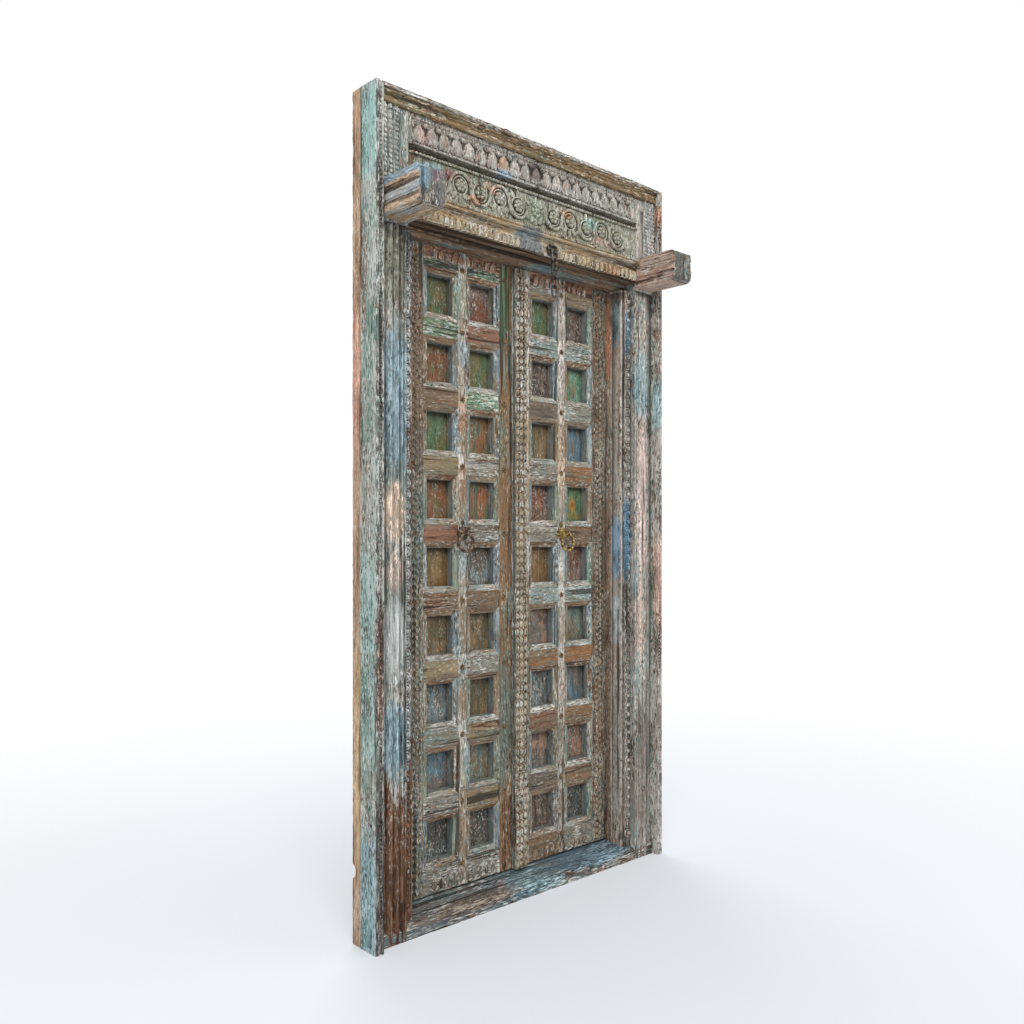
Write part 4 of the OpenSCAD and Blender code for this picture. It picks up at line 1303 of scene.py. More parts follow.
def hoop(radius: float, wire: float, segments: int = 20, half: int = 0) -> Ornament:
    """Models a round moulded hoop that lies flat on a face to the front.

    Args:
        radius: Radius at its middle.
        wire: Radius of its wire.
        segments: Segments round it.
        half: 1 for the upper half, -1 for the lower, 0 for all of it.

    Returns:
        The hoop.
    """
    bpy.ops.object.select_all(action="DESELECT")
    bpy.ops.mesh.primitive_torus_add(major_radius=radius, minor_radius=wire,
                                     major_segments=segments, minor_segments=6)
    piece = bpy.context.object
    piece.data.transform(Matrix.Rotation(math.pi / 2, 4, "X"))
    if half:
        cut_off(piece, Vector((0, 0, -half * wire * 0.4)), Vector((0, 0, -half)))
    return Ornament.lifted(piece)


def at(x: float, y: float, z: float, turn: float = 0.0, size: float = 1.0) -> Matrix:
    """Places an ornament.

    Args:
        x: Place along the width.
        y: Place along the depth.
        z: Height.
        turn: Angle about the depth, clockwise from the front.
        size: Scale.

    Returns:
        The place as a matrix.
    """
    return Matrix.Translation((x, y, z)) @ Matrix.Rotation(turn, 4, "Y") @ Matrix.Scale(size, 4)


def around(turn: float, radius: float) -> Vector:
    """Gives the point on a circle to the front, clockwise from its top."""
    return Vector((math.sin(turn), 0, math.cos(turn))) * radius


def rosette(radius: float, petals: int, rise: float) -> list[Placed]:
    """Models a flower of petals round a boss.

    Args:
        radius: Its radius.
        petals: Number of petals.
        rise: How far the boss stands out.

    Returns:
        Its ornaments, placed round the origin.
    """
    width = 2 * math.pi * radius * 0.64 / petals
    petal = bead(width, radius * 0.66, rise * 0.6, 6, 6)
    parts = [(bead(radius * 0.76, radius * 0.76, rise, 10, 6), Matrix.Identity(4))]
    outwards = Matrix.Translation((0, 0, radius * 0.66))
    for index in range(petals):
        parts.append((petal, Matrix.Rotation(index * math.tau / petals, 4, "Y") @ outwards))
    return parts


def moved(parts: Sequence[Placed], place: Matrix) -> list[Placed]:
    """Moves a group of placed ornaments."""
    return [(ornament, place @ own) for ornament, own in parts]


# Frame


@dataclass
class DoorFrame:
    """Jambs, head, brackets and threshold, in metres, with depths in millimetres from the trims."""

    half: float = 575 * MM
    strip_in: float = 434 * MM
    strip_out: float = 460 * MM
    trim_in: float = 550 * MM
    head_low: float = 1862 * MM
    soffit_high: float = 1888 * MM
    block_low: float = 1967 * MM
    cornice_low: float = 2160 * MM
    fillet_low: float = 2192 * MM
    rebate_depth: float = 84
    back_depth: float = 96
    pearl_low: float = 85 * MM
    pearl_room: float = 70 * MM
    pearl_pitch: float = 30 * MM
    bead_pitch: float = 12.5 * MM
    bead_columns: tuple[float, ...] = (502 * MM, 520 * MM, 538 * MM)
    chain_x: float = 60 * MM
    chain_room: float = 27 * MM

    def build(self) -> None:
        """Builds and dresses all pieces of the frame."""
        for side, name in ((-1, "left"), (1, "right")):
            self.jamb(side, name)
            self.trim(side, name)
            timber(f"{name}_back_batten", UPRIGHT, BARE_SEAT, [BARE_WOOD])
            self.bracket(side, name)
        self.head()
        self.upper_frieze()
        self.lower_frieze()
        self.lintel()
        self.threshold()

    def jamb(self, side: int, name: str) -> None:
        """Builds a jamb with its pearl strip and beaded block.

        Args:
            side: -1 for the left, 1 for the right.
            name: Word for that side.
        """
        if side < 0:
            reeds, strip, pearls, edge = LEFT_REEDS, LEFT_STRIP, LEFT_PEARL, INNER_EDGE
        else:
            reeds, strip, pearls, edge = RIGHT_REEDS, RIGHT_STRIP, RIGHT_PEARL, REVEAL_EDGE

        def choose(centre: Vector, normal: Vector) -> PaintFinish:
            """Gives the finish of a face of the jamb."""
            across = abs(centre.x)
            if across > self.half - 3 * MM or (across > self.trim_in and abs(normal.x) > SQUARE):
                return SIDE_PAINT
            if centre.y > depth(self.back_depth) and normal.y > FACING:
                return BACK_WOOD
            if across < self.strip_in:
                if normal.y < -FACING or side < 0:
                    return edge
                return REVEAL_FRONT if centre.y < depth(self.rebate_depth) else REVEAL_BACK
            if across < self.strip_out and centre.z < self.head_low:
                return strip
            return reeds

        finishes = [SIDE_PAINT, reeds, strip, edge, BACK_WOOD, REVEAL_FRONT, REVEAL_BACK]
        timber(f"{name}_jamb", POST, JAMB_SEAT, finishes, choose)
        middle = side * (self.strip_in + self.strip_out) / 2
        ring = hoop(11.5 * MM, 2.2 * MM, 14)
        pearl = bead(13 * MM, 15 * MM, 7 * MM)
        parts = []
        for index in range(int((self.head_low - self.pearl_room) / self.pearl_pitch)):
            height = self.pearl_low + index * self.pearl_pitch
            parts.append((ring, at(middle, depth(46.2), height)))
            parts.append((pearl, at(middle, depth(44), height)))
        carve(f"{name}_pearl_strip", parts, JAMB_SEAT, [pearls])
        dot = bead(12 * MM, 10.5 * MM, 6 * MM)
        rows = int((self.cornice_low - self.block_low) / self.bead_pitch)
        parts = []
        for column in self.bead_columns:
            for row in range(rows):
                height = self.block_low + (row + 0.6) * self.bead_pitch
                parts.append((dot, at(side * column, depth(14.5), height)))
        carve(f"{name}_block_beads", parts, JAMB_SEAT, [BEAD_PAINT])

    def trim(self, side: int, name: str) -> None:
        """Builds an outer trim with its dotted arris.

        Args:
            side: -1 for the left, 1 for the right.
            name: Word for that side.
        """
        front = TRIM_PAINT if side < 0 else RIGHT_TRIM
        outer = self.half - 2 * MM
        timber(f"{name}_outer_trim", UPRIGHT, TRIM_SEAT, [front, SIDE_PAINT],
               lambda centre, normal: SIDE_PAINT if abs(centre.x) > outer else front)
        dot = dot_bead(8 * MM, 9 * MM, 4 * MM)
        x, first, pitch, reach = side * (self.trim_in + 9.5 * MM), 9, 11, 2190
        parts = [(dot, at(x, depth(4.6), (first + pitch * index) * MM))
                 for index in range(int(reach / pitch))]
        carve(f"{name}_trim_dots", parts, TRIM_SEAT, [front])

    def bracket(self, side: int, name: str) -> None:
        """Builds a bracket with its painted top and bare end, and breaks a corner off the left one.

        Args:
            side: -1 for the left, 1 for the right.
            name: Word for that side.
        """
        node = f"{name}_bracket"
        beam = worn_copy(node, BEAM_END)
        low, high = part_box(node)
        sides, top, end = RIGHT_BRACKET, RIGHT_BRACKET_END, RIGHT_BRACKET_END
        if side < 0:
            sides, top, end = LEFT_BRACKET, LEFT_BRACKET_TOP, LEFT_BRACKET_END
            cut_off(beam, Vector((high.x, low.y, high.z - 26 * MM)), Vector((0.62, -0.5, 0.6)))
        behind = low.y + 30 * MM

        def choose(centre: Vector, normal: Vector) -> PaintFinish:
            """Tells the end and the top from the sides."""
            if normal.y < -FACING and centre.y < behind:
                return end
            return top if normal.z > LEVEL else sides

        dress(beam, [sides, top, end], choose)
        stand(beam, BRACKET_SEAT, node)

    def head(self) -> None:
        """Builds the cornice, the hidden beams and the inner head."""

        def choose(centre: Vector, normal: Vector) -> PaintFinish:
            """Gives the grey finish to the top fillet, and bare wood to the back."""
            if normal.y > FACING:
                return BEAM_WOOD
            upper = centre.z > self.fillet_low or normal.z > LEVEL
            return CORNICE_TOP if upper else CORNICE_PAINT

        timber("cornice", TIMBER, HEAD_SEAT, [CORNICE_PAINT, CORNICE_TOP, BEAM_WOOD], choose)
        for node in ("head_beam", "pivot_beam"):
            timber(node, BEAM, BARE_SEAT, [BEAM_WOOD])
        timber("inner_head", TIMBER, FRAME_SEAT, [INNER_HEAD_PAINT])

    def upper_frieze(self) -> None:
        """Builds the board with the row of upright leaves."""
        timber("upper_frieze", CARVED, FRIEZE_SEAT, [LEAF_GROUND])
        leaf = leaflet(32 * MM, 48 * MM, 6 * MM)
        small = leaflet(12 * MM, 26 * MM, 4.5 * MM)
        berry = bead(13 * MM, 13 * MM, 6 * MM)
        dot = dot_bead(8 * MM, 8 * MM, 4 * MM)
        face, pitch, last, last_dot = depth(14), 43 * MM, 10, 40
        parts = []
        for index in range(-last, last + 1):
            x = index * pitch
            parts.append((leaf, at(x, face, 2110 * MM)))
            for lean in (-1, 1):
                parts.append((small, at(x + lean * 15 * MM, face + 3 * MM, 2098 * MM, lean * 0.5)))
            if index < last:
                parts.append((berry, at(x + pitch / 2, face, 2135 * MM)))
        for index in range(-last_dot, last_dot + 1):
            parts.append((dot, at(index * 11.2 * MM, depth(19.5), 2150 * MM)))
        carve("upper_frieze_leaves", parts, FRIEZE_SEAT, [LEAF_CARVING])

    def lower_frieze(self) -> None:
        """Builds the board with the running vine and the middle rosette."""
        timber("lower_frieze", CARVED, FRIEZE_SEAT, [VINE_GROUND])
        face, middle, pitch = depth(14.5), 2009 * MM, 72 * MM
        petals, arcs, last_dot, reach = 12, 5, 37, 36 * MM
        vine = {way: hoop(pitch / 2, 4.6 * MM, 28, way) for way in (1, -1)}
        tendril = hoop(24.5 * MM, 2.4 * MM, 20)
        flower = rosette(19 * MM, 7, 9 * MM)
        leaf = leaflet(13 * MM, 26 * MM, 4.5 * MM)
        dot = dot_bead(8 * MM, 8 * MM, 4 * MM)
        parts = moved(rosette(24 * MM, 8, 13 * MM), at(0, face, middle))
        petal = leaflet(17 * MM, 24 * MM, 5 * MM)
        for index in range(petals):
            turn = index * math.tau / petals
            spot = around(turn, 31 * MM)
            parts.append((petal, at(spot.x, face + 2 * MM, middle + spot.z, turn)))
        for side in (-1, 1):
            for index in range(1, arcs + 1):
                x = side * (reach + (index - 0.5) * pitch)
                up = 1 if index % 2 == 0 else -1
                parts.append((vine[up], at(x, face, middle)))
                parts.append((tendril, at(x, face + 3 * MM, middle + up * 2 * MM)))
                parts += moved(flower, at(x, face, middle + up * 2 * MM))
                inside, outside = (math.pi, 0) if up > 0 else (0, math.pi)
                for lean in (-0.62, 0.0, 0.62):
                    spot = around(inside + lean, 34 * MM)
                    place = at(x + spot.x, face + 3.4 * MM, middle + spot.z, inside + lean)
                    parts.append((leaf, place))
                for lean in (-1.02, 1.02):
                    spot = around(outside + lean, 46 * MM)
                    place = at(x + spot.x, face + 3.4 * MM, middle + spot.z, outside + lean, 0.8)
                    if abs(spot.z) < reach:
                        parts.append((leaf, place))
        for index in range(-last_dot, last_dot + 1):
            for height in (2057 * MM, 1961 * MM):
                parts.append((dot, at(index * 12.2 * MM, depth(13.6), height)))
        carve("lower_frieze_vine", parts, FRIEZE_SEAT, [VINE_CARVING])

    def lintel(self) -> None:
        """Builds the lintel with beads and a row of petals that leaves room for the chain."""

        def choose(centre: Vector, normal: Vector) -> PaintFinish:
            """Gives the soffit the finish of the inner head."""
            under = normal.z < -SQUARE and centre.z < self.soffit_high
            return INNER_HEAD_PAINT if under else LINTEL_PAINT

        timber("lintel_beam", CARVED, HEAD_SEAT, [LINTEL_PAINT, INNER_HEAD_PAINT], choose)
        petal = leaflet(16 * MM, 28 * MM, 4 * MM)
        dot = dot_bead(8.5 * MM, 8 * MM, 4.5 * MM)
        last, last_dot = 22, 48
        parts = []
        for index in range(-last, last + 1):
            x = index * 20 * MM
            if abs(x - self.chain_x) > self.chain_room:
                parts.append((petal, at(x, depth(8), 1901 * MM)))
        for index in range(-last_dot, last_dot + 1):
            parts.append((dot, at(index * 9.4 * MM, depth(4.4), 1952 * MM)))
        carve("lintel_petals", parts, HEAD_SEAT, [LINTEL_CARVING])

    def threshold(self) -> None:
        """Builds the worn threshold."""
        timber("threshold", TRODDEN, FRAME_SEAT, [THRESHOLD_PAINT, BEAM_WOOD],
               lambda centre, normal: BEAM_WOOD if normal.y > FACING else THRESHOLD_PAINT)


# Leaves

SIDE_SLOPES = (SLOPE_BLUE, SLOPE_BROWN, SLOPE_GREEN)
SLOPES = (SLOPE_UP_LIT, SLOPE_DOWN_SHADED, CELL_WALL, *SIDE_SLOPES)
FLOWER_CELL = ("right", 1, 5)


@dataclass
class DoorLeaf:
    """One coffered leaf with its carved border, panels, studs and ring pull."""

    side: int
    name: str
    panels: tuple[tuple[PanelPaint, ...], tuple[PanelPaint, ...]]
    rails: tuple[tuple[RailPaint, ...], tuple[RailPaint, ...]]
    metal: MetalFinish
    metal_slot: str
    stile: PaintFinish
    border_finishes: tuple[PaintFinish, PaintFinish]
    bevel: float = 16 * MM
    bevel_depth: float = 6.5 * MM
    panel_half: tuple[float, float] = (47 * MM, 55.6 * MM)
    rows: int = 9
    body: str = field(init=False)
    seat: Seat = field(init=False)
    face: float = field(init=False)
    back: float = field(init=False)
    columns: tuple[tuple[float, float], tuple[float, float]] = field(init=False)
    levels: list[tuple[float, float]] = field(init=False)
    muntin: float = field(init=False)
    muntin_flat: float = field(init=False)
    border: float = field(init=False)

    def __post_init__(self) -> None:
        """Reads the leaf's main lines from the frame."""
        self.body = f"{self.name}_leaf"
        self.seat = Seat(self.body, "leaf_paint")
        front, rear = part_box(f"{self.name}_rail_5")
        self.face, self.back = front.y, rear.y
        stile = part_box(f"{self.name}_meeting_stile")
        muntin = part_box(f"{self.name}_muntin")
        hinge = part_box(f"{self.name}_hinge_stile")
        if self.side < 0:
            edges = (-stile[0].x, -muntin[1].x, -muntin[0].x, -hinge[1].x)
        else:
            edges = (stile[1].x, muntin[0].x, muntin[1].x, hinge[0].x)
        self.columns = ((edges[0], edges[1]), (edges[2], edges[3]))
        self.muntin = (edges[1] + edges[2]) / 2
        self.muntin_flat = (edges[2] - edges[1]) / 2 - self.bevel
        self.border = edges[3] + 24 * MM
        rails = [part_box(f"{self.name}_rail_{index}") for index in range(1, self.rows + 2)]
        self.levels = [(below[1].z, above[0].z) for below, above in zip(rails, rails[1:])]

    def build(self) -> None:
        """Builds and dresses all pieces of the leaf."""
        self.lattice()
        self.planks()
        self.cells()
        self.border_carving()
        self.studs()
        self.pull()

    def lattice(self) -> None:
        """Builds the stiles, the muntin and the rails."""
        meeting = MEETING_PAINT if self.side < 0 else self.stile
        for part, finish in (("hinge_stile", self.border_finishes[0]), ("muntin", self.stile),
                             ("meeting_stile", meeting)):
            timber(f"{self.name}_{part}", UPRIGHT, self.seat, [finish, BACK_WOOD],
                   self.upright_choice(finish))
        marks = [self.side * (self.muntin + edge) for edge in (-self.muntin_flat, self.muntin_flat)]
        for index in range(1, self.rows + 2):
            blocks = [column[self.rows + 1 - index].finish() for column in self.rails]
            if index > self.rows:
                blocks = [replace(block, name=f"{block.name}_top", stains=TOP_STAINS)
                          for block in blocks]
            timber(f"{self.name}_rail_{index}", TIMBER, self.seat, [*blocks, self.stile],
                   self.rail_choice(*blocks), marks)

    def upright_choice(self, front: PaintFinish) -> Choice:
        """Gives the rule for an upright, which has bare wood behind the rails.

        Args:
            front: Finish of its front.

        Returns:
            The rule.
        """
        behind = self.back + 2 * MM
        return lambda centre, normal: BACK_WOOD if centre.y > behind else front

    def rail_choice(self, inner: PaintFinish, outer: PaintFinish) -> Choice:
        """Gives the rule for a rail, which has a block on each side of the crossing.

        Args:
            inner: Finish of the block next to the joint of the leaves.
            outer: Finish of the other block.

        Returns:
            The rule.
        """
        def choose(centre: Vector, normal: Vector) -> PaintFinish:
            """Tells the crossing from the inner and the outer block."""
            across = abs(centre.x) - self.muntin
            if abs(across) < self.muntin_flat:
                return self.stile
            return outer if across > 0 else inner

        return choose

    def planks(self) -> None:
        """Builds the two planks that show at the back."""
        for part in ("outer_plank", "inner_plank"):
            timber(f"{self.name}_{part}", PLANK, Seat(self.body, "panel_paint"), [BACK_WOOD])

    def cells(self) -> None:
        """Builds the mitred edge round each opening, and the painted panel behind it."""
        edge, board = self.cell_edge(), self.panel_board()
        places: list[Matrix] = []
        finishes: list[PaintFinish] = []
        slots: list[int] = []
        for column, (near, far) in enumerate(self.columns):
            for row, (low, high) in enumerate(self.levels):
                places.append(at(self.side * (near + far) / 2, self.face, (low + high) / 2))
                colour = self.panels[column][self.rows - 1 - row]
                flower = (self.name, column, row) == FLOWER_CELL
                finish = FLOWER_PANEL if flower else colour.finish()
                if finish not in finishes:
                    finishes.append(finish)
                slots.append(finishes.index(finish))
        rims = copies(f"{self.name}_cell_edges", [(edge, place) for place in places])
        uneven(rims, planed(), 1.6 * MM)
        dress(rims, SLOPES)
        for face in rims.data.polygons:
            finish = self.slope_finish(face, face.index // len(edge.faces))
            face.material_index = SLOPES.index(finish)
        # Painted shade at the feet of the cell walls, where they meet the panels
        foot = self.back - 5 * MM
        shade_and_soil(rims, lambda index, point: 0.3 if point.y > foot else 0.0)
        stand(rims, self.seat)
        sheet = copies(f"{self.name}_panels", [(board, place) for place in places])
        uneven(sheet, planed(), 2.4 * MM)
        wide, tall = self.panel_half

        def edge_shade_and_grime(index: int, point: Vector) -> float:
            """Gives painted shade with some grime on a panel, most of it a painted shadow under the
            rail above.
            """
            off = point - places[index // len(board.points)].translation
            across, above = abs(off.x) / wide, off.z / tall
            return (1.2 * max(0.0, above - 0.62) + 1.2 * max(0.0, across - 0.78)
                    + max(0.0, -above - 0.85))

        # Painted shadow under the rail above each panel, and painted shade at its sides and foot
        shade_and_soil(sheet, edge_shade_and_grime)
        dress(sheet, finishes)
        for face in sheet.data.polygons:
            face.material_index = slots[face.index // len(board.faces)]
        stand(sheet, Seat(self.body, "panel_paint"))

    def slope_finish(self, face: bpy.types.MeshPolygon, cell: int) -> PaintFinish:
        """Gives the finish of a face of a cell's edge.

        Args:
            face: The face.
            cell: Number of its cell.

        Returns:
            The finish.
        """
        if face.center.y > self.face + self.bevel_depth + 1.5 * MM:
            return CELL_WALL
        # Painted light on slopes facing up, painted shade on slopes facing down
        if abs(face.normal.z) > abs(face.normal.x) + 0.05:
            return SLOPE_UP_LIT if face.normal.z > 0 else SLOPE_DOWN_SHADED
        left = face.normal.x > 0
        return SIDE_SLOPES[(cell * 2 + int(left) + cell // 4) % len(SIDE_SLOPES)]

    def cell_edge(self) -> Ornament:
        """Models the mitred edge of one opening: a lip, a slope and the walls behind it.

        Returns:
            The edge, round the middle of the opening on the leaf's face.
        """
        near, far = self.columns[0]
        low, high = self.levels[3]
        bpy.ops.object.select_all(action="DESELECT")
        bpy.ops.mesh.primitive_plane_add(size=2.0)
        piece = bpy.context.object
        wide, tall = (far - near) / 2 + self.bevel, (high - low) / 2 + self.bevel
        lip = Matrix.Translation((0, -0.6 * MM, 0))
        piece.data.transform(Matrix.Rotation(math.pi / 2, 4, "X"))
        piece.data.transform(lip @ Matrix.Diagonal((wide, 1, tall, 1)))
        bpy.ops.object.mode_set(mode="EDIT")
        bpy.ops.mesh.select_all(action="SELECT")
        bpy.ops.mesh.inset(thickness=0.8 * MM)
        bpy.ops.mesh.inset(thickness=self.bevel * 0.55, depth=-self.bevel_depth * 0.36)
        bpy.ops.mesh.inset(thickness=self.bevel * 0.45 + 0.8 * MM, depth=-self.bevel_depth * 0.64)
        wall = self.back - self.face - self.bevel_depth
        bpy.ops.mesh.extrude_region_move(TRANSFORM_OT_translate={"value": (0, wall, 0)})
        bpy.ops.mesh.delete(type="FACE")
        bpy.ops.mesh.select_all(action="SELECT")
        bpy.ops.mesh.region_to_loop()
        bpy.ops.object.mode_set(mode="OBJECT")

        def on_lip(point: Vector) -> bool:
            """Tells whether a point lies on the outer edge of the lip."""
            off = min(abs(abs(point.x) - wide), abs(abs(point.z) - tall))
            return point.y < 0 and off < 0.01 * MM

        for line in piece.data.edges:
            line.select = all(on_lip(piece.data.vertices[v].co) for v in line.vertices)
        bpy.ops.object.mode_set(mode="EDIT")
        bpy.ops.mesh.select_mode(type="EDGE")
        bpy.ops.mesh.extrude_region_move(TRANSFORM_OT_translate={"value": (0, 2.4 * MM, 0)})
        bpy.ops.mesh.select_all(action="SELECT")
        bpy.ops.mesh.normals_make_consistent(inside=False)
        bpy.ops.mesh.subdivide(number_cuts=3)
        bpy.ops.mesh.select_mode(type="VERT")
        bpy.ops.object.mode_set(mode="OBJECT")
        outward = sum((f.normal.y for f in piece.data.polygons if abs(f.normal.y) > 0.8), 0.0)
        if outward > 0:
            piece.data.flip_normals()
        return Ornament.lifted(piece)

    def panel_board(self) -> Ornament:
        """Models the slightly cupped board behind one opening.

        Returns:
            The board, round the middle of the opening on the leaf's face.
        """
        near, far = self.columns[0]
        low, high = self.levels[3]
        bpy.ops.object.select_all(action="DESELECT")
        bpy.ops.mesh.primitive_grid_add(x_subdivisions=12, y_subdivisions=14, size=2.0)
        piece = bpy.context.object
        wide, tall = (far - near) / 2 - 0.5 * MM, (high - low) / 2 - 0.5 * MM
        behind = self.back - self.face - 2.6 * MM
        for vertex in piece.data.vertices:
            cup = 1.2 * MM * (vertex.co.x ** 2 + vertex.co.y ** 2)
            vertex.co = (vertex.co.x * wide, behind - cup, vertex.co.y * tall)
        thicken(piece, 2.0 * MM)
        return Ornament.lifted(piece)

    def border_carving(self) -> None:
        """Builds the dotted border of the hinge stile and the carving of the outer rails."""
        dot = bead(14 * MM, 15 * MM, 5 * MM)
        small = dot_bead(7 * MM, 8 * MM, 3.5 * MM)
        count, first, pitch = 89, 76, 20
        parts = []
        for index in range(count):
            z = (first + index * pitch) * MM
            for column, lift in ((14.5, 0.0), (31.5, 10.0)):
                x = self.side * (self.border + column * MM)
                parts.append((dot, at(x, self.face, z + lift * MM)))
            x = self.side * (self.border + 23 * MM)
            parts.append((small, at(x, self.face, z + 5 * MM)))
            for line in (2.5, 43.5):
                x = self.side * (self.border + line * MM)
                parts.append((small, at(x, self.face - 2 * MM, z)))
        near, far = self.columns[0][0], self.columns[1][1]
        petal, petal_pitch = leaflet(18 * MM, 30 * MM, 3.5 * MM), 24 * MM
        for height in (84 * MM, 1842 * MM):
            for index in range(int((far - near) / petal_pitch)):
                x = self.side * (near + (index + 0.5) * petal_pitch)
                parts.append((petal, at(x, self.face - 1.6 * MM, height)))
        border, band = self.border_finishes[1], 1830 * MM
        carve(f"{self.name}_border_carving", parts, self.seat, [border, TOP_BAND],
              lambda centre, normal: TOP_BAND if centre.z > band else border)

    def studs(self) -> None:
        """Builds the rosettes of the studs, at the places of the plain ones."""
        node = f"{self.name}_studs"
        low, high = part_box(node)
        flower = rosette(9 * MM, 7, 5.5 * MM)
        spots: list[Vector] = []
        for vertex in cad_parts[node].data.vertices:
            tip = vertex.co
            if tip.y < low.y + 0.05 * MM and all((tip - spot).length > 6 * MM for spot in spots):
                spots.append(tip)
        parts = []
        for spot in spots:
            parts += moved(flower, at(spot.x, high.y, spot.z))
        LOG.info("%s: %d rosettes", node, len(spots))
        carve(f"{self.name}_stud_rosettes", parts, Seat(self.body, "stud_metal"), [STUD_METAL],
              nodes=[node])

    def pull(self) -> None:
        """Builds the flower boss of the ring pull and dresses its ring."""
        node = f"{self.name}_pull_boss"
        low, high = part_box(node)
        x, z = (low.x + high.x) / 2, (low.z + high.z) / 2
        middle = at(x, high.y, z)
        parts = moved(rosette(23 * MM, 11, 8 * MM), middle)
        parts.append((bead(34 * MM, 34 * MM, 11 * MM, 14, 10), middle))
        parts.append((bead(22 * MM, 22 * MM, high.y - low.y - 14 * MM, 12, 10), middle))
        eye = Matrix.Translation((x, low.y + 10.5 * MM, z)) @ Matrix.Rotation(math.pi / 2, 4, "Z")
        parts.append((hoop(8 * MM, 2.5 * MM, 18), eye))
        parts += moved(rosette(8 * MM, 6, 5 * MM), at(x, self.face, z + 30 * MM))
        carve(f"{self.name}_flower_boss", parts, Seat(self.body, self.metal_slot), [self.metal],
              nodes=[node])
        dress_node(f"{self.name}_pull_ring", self.metal)


def dress_node(node: str, finish: Finish) -> None:
    """Gives a node that stays its finish.

    Args:
        node: Name of the node.
        finish: Its finish.
    """
    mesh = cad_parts[node].data
    mesh.materials.clear()
    mesh.materials.append(finish.material())
    LOG.info("%s stays, as %s", node, finish.name)


@dataclass
class Astragal:
    """Carved strip on the right leaf, beside the joint of the leaves."""

    low: float = 60 * MM
    pitch: float = 24 * MM

    def build(self) -> None:
        """Builds the strip and its three columns of beads."""
        near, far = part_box("astragal")
        edge = near.x + 2 * MM

        def choose(centre: Vector, normal: Vector) -> PaintFinish:
            """Gives the left side its grey-green paint."""
            side = normal.x < -SQUARE and centre.x < edge
            return ASTRAGAL_SIDE if side else ASTRAGAL_PAINT

        timber("astragal", CARVED_STRIP, ASTRAGAL_SEAT, [ASTRAGAL_PAINT, ASTRAGAL_SIDE], choose)
        width = (far.x - near.x) / 3
        outer = bead(13 * MM, 17 * MM, 4 * MM)
        middle = leaflet(15 * MM, 19 * MM, 3 * MM)
        small = dot_bead(6 * MM, 6 * MM, 4 * MM)
        parts = []
        for row in range(int((far.z - near.z) / self.pitch)):
            z = self.low + (row + 0.5) * self.pitch
            for column in (0.5, 2.5):
                parts.append((outer, at(near.x + column * width, near.y + 1.0 * MM, z)))
            turn = 0 if row % 2 else math.pi
            parts.append((middle, at(near.x + 1.5 * width, near.y + 1.4 * MM, z, turn)))
            for column in (1.0, 2.0):
                place = at(near.x + column * width, near.y + 4 * MM, z + self.pitch / 2)
                parts.append((small, place))
        carve("astragal_beads", parts, ASTRAGAL_SEAT, [ASTRAGAL_CARVING])


@dataclass
class Chain:
    """Staple with its flower plate, and the links that hang from it."""

    links: int = 5

    def build(self) -> None:
        """Dresses the links and builds the flower on the staple's plate."""
        low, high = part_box("chain_staple")
        x, z = (low.x + high.x) / 2, (low.z + high.z) / 2
        parts = moved(rosette(21 * MM, 9, 6 * MM), at(x, high.y - 7.5 * MM, z))
        carve("staple_flower", parts, STAPLE_SEAT, [CHAIN_IRON])
        dress_node("chain_staple", CHAIN_IRON)
        for index in range(1, self.links + 1):
            dress_node(f"chain_link_{index}", CHAIN_IRON)


# Studio


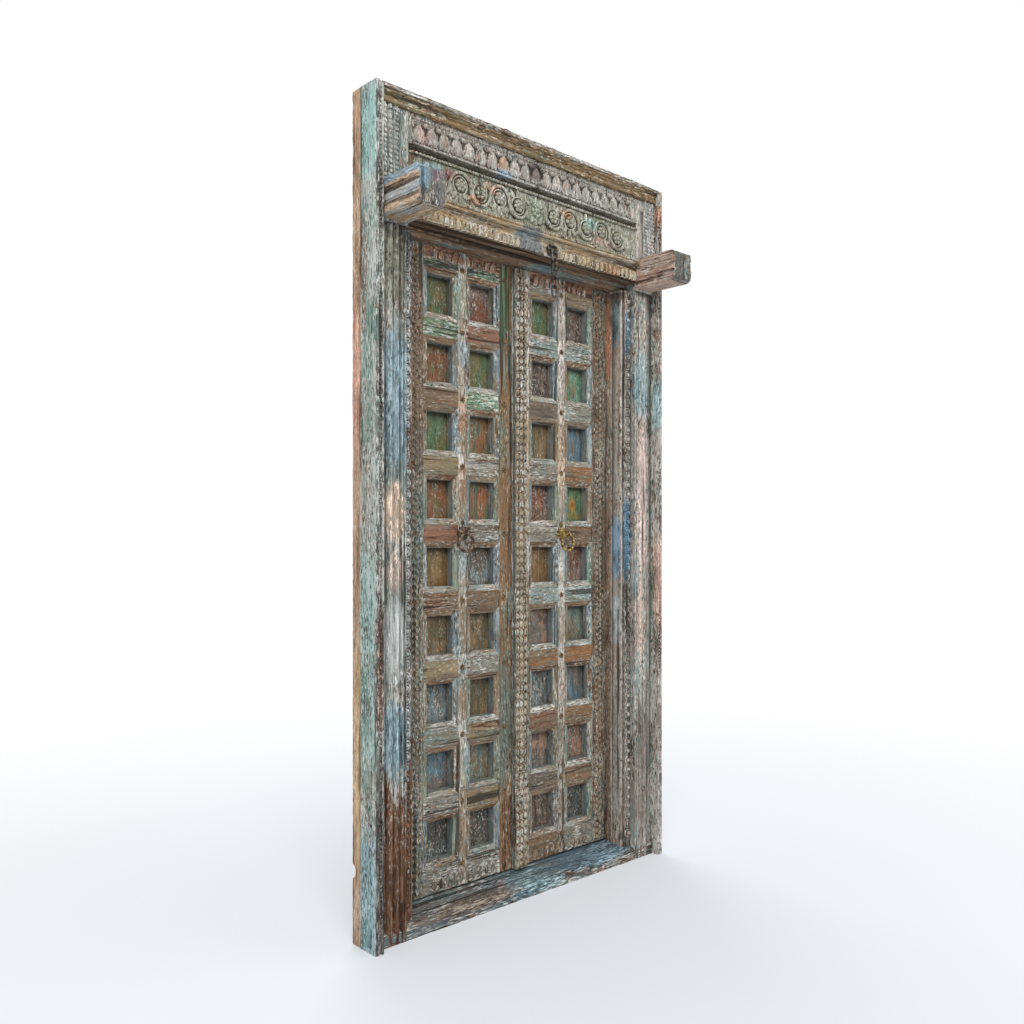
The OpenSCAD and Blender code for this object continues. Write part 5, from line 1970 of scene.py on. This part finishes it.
@dataclass
class Studio:
    """Camera, soft light, pale floor and white surroundings."""

    place: tuple[float, float, float] = (-1.926, -2.010, 1.0453)
    yaw: float = -42.851
    lens: float = 33.05
    shift: float = 0.0273
    lit_point: tuple[float, float, float] = (0, 0, 1.1)
    floor_fade: tuple[float, float] = (0.6, 3.4)

    def build(self) -> None:
        """Builds the studio."""
        scene = bpy.context.scene
        scene.view_settings.view_transform = "Standard"
        self.camera(scene)
        self.lamp("key_light", (-2.4, -3.0, 4.2), 2.4, 122.0)
        self.lamp("fill_light", (2.8, -3.0, 2.2), 3.0, 40.0)
        self.lamp("back_light", (1.6, 3.4, 3.0), 3.0, 80.0)
        self.world(scene)
        self.floor()

    def camera(self, scene: bpy.types.Scene) -> None:
        """Sets the camera at the photograph's viewpoint.

        Args:
            scene: The scene.
        """
        data = bpy.data.cameras.new("photo_camera")
        data.lens = self.lens
        data.sensor_width = 36.0
        data.sensor_fit = "HORIZONTAL"
        data.shift_y = self.shift
        eye = bpy.data.objects.new("photo_camera", data)
        eye.location = self.place
        eye.rotation_euler = (math.radians(90), 0, math.radians(self.yaw))
        scene.collection.objects.link(eye)
        scene.camera = eye

    def lamp(self, name: str, place: tuple[float, float, float], size: float, power: float) -> None:
        """Adds a large soft lamp that looks at the door.

        Args:
            name: Its name.
            place: Its place.
            size: Its width.
            power: Its power in watts.
        """
        data = bpy.data.lights.new(name, "AREA")
        data.size = size
        data.energy = power
        lamp = bpy.data.objects.new(name, data)
        lamp.location = place
        way = Vector(self.lit_point) - Vector(place)
        lamp.rotation_euler = way.to_track_quat("-Z", "Y").to_euler()
        bpy.context.scene.collection.objects.link(lamp)

    def world(self, scene: bpy.types.Scene) -> None:
        """Makes white surroundings that light the door at a plain level.

        Args:
            scene: The scene.
        """
        world = bpy.data.worlds.new("studio")
        scene.world = world
        world.use_nodes = True
        tree = Tree(world.node_tree)
        light = world.node_tree.nodes["Background"]
        light.inputs[0].default_value = (0.95, 0.97, 1.0, 1.0)
        light.inputs[1].default_value = 0.56
        seen = tree.node("ShaderNodeBackground")
        seen.inputs[0].default_value = (1.0, 1.0, 1.0, 1.0)
        path = tree.node("ShaderNodeLightPath").outputs
        share = tree.math("MAXIMUM", path["Is Camera Ray"], path["Is Glossy Ray"])
        share = tree.math("MAXIMUM", share, path["Is Transmission Ray"])
        both = tree.node("ShaderNodeMixShader")
        tree.feed(both.inputs[0], share)
        tree.feed(both.inputs[1], light.outputs[0])
        tree.feed(both.inputs[2], seen.outputs[0])
        tree.feed(world.node_tree.nodes["World Output"].inputs[0], both.outputs[0])

    def floor(self) -> None:
        """Lays the pale floor, which fades to white away from the door."""
        bpy.ops.object.select_all(action="DESELECT")
        bpy.ops.mesh.primitive_grid_add(x_subdivisions=8, y_subdivisions=8, size=40.0)
        floor = bpy.context.object
        floor.name = "studio_floor"
        made, tree, shader = new_material("studio_floor")
        shader.inputs["Base Color"].default_value = (*paint(230, 235, 241), 1.0)
        shader.inputs["Roughness"].default_value = 0.7
        shader.inputs["Specular IOR Level"].default_value = 0.1
        white = tree.node("ShaderNodeEmission")
        path = tree.node("ShaderNodeLightPath").outputs
        place = tree.node("ShaderNodeTexCoord").outputs["Object"]
        away = tree.node("ShaderNodeVectorMath", operation="LENGTH")
        tree.feed(away.inputs[0], place)
        share = tree.step(away.outputs["Value"], *self.floor_fade)
        share = tree.blend((share, 0.72), base=0.28)
        share = tree.math("MULTIPLY", share, path["Is Camera Ray"])
        both = tree.node("ShaderNodeMixShader")
        tree.feed(both.inputs[0], share)
        tree.feed(both.inputs[1], shader.outputs[0])
        tree.feed(both.inputs[2], white.outputs[0])
        tree.feed(made.node_tree.nodes["Material Output"].inputs[0], both.outputs[0])
        floor.data.materials.append(made)


# Paint of the panels and of the rails' blocks, column by column from the top

P = PanelPaint
LEFT_PANELS = ((P.EMBER, P.GREEN, P.LEAF, P.LEAF, P.WASHED, P.OLIVE, P.OLIVE, P.TEAL, P.SLATE),
               (P.GREEN, P.RUST, P.GREEN, P.RUST, P.OCHRE, P.OLIVE, P.GREY, P.BLUE, P.SLATE))
RIGHT_PANELS = ((P.GREEN, P.DARK, P.OLIVE, P.EMBER, P.OCHRE, P.PINK, P.GREY, P.PINK, P.DARK),
                (P.DARK, P.MINT, P.BLUE, P.GREEN, P.EMBER, P.TEAL, P.BLUE, P.PINK, P.SLATE))
R = RailPaint
LEFT_RAILS = ((R.GREEN, R.RED, R.GREEN, R.PALE, R.GREY, R.BROWN, R.GREY, R.TAN, R.TAN, R.GREY),
              (R.GREEN, R.GREEN, R.BROWN, R.TAN, R.RED, R.BROWN, R.TAN, R.TEAL, R.GREY, R.GREY))
RIGHT_RAILS = ((R.PALE, R.TEAL, R.DARK, R.GREY, R.PALE, R.TEAL, R.RUST, R.RED, R.DARK, R.BROWN),
               (R.TAN, R.TEAL, R.TEAL, R.RUST, R.BROWN, R.TEAL, R.RUST, R.RUST, R.BROWN, R.GREY))


def main() -> None:
    """Builds the studio and the door's pieces in order."""
    logging.basicConfig(level=logging.INFO, format="%(message)s")
    Studio().build()
    DoorFrame().build()
    DoorLeaf(-1, "left", LEFT_PANELS, LEFT_RAILS, IRON, "iron", STILE_PAINT,
             (LEFT_BORDER, LEFT_BORDER_CARVING)).build()
    DoorLeaf(1, "right", RIGHT_PANELS, RIGHT_RAILS, BRASS, "brass", RIGHT_STILE,
             (BORDER_PAINT, BORDER_CARVING)).build()
    Astragal().build()
    Chain().build()
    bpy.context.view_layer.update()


if __name__ == "__main__":
    main()
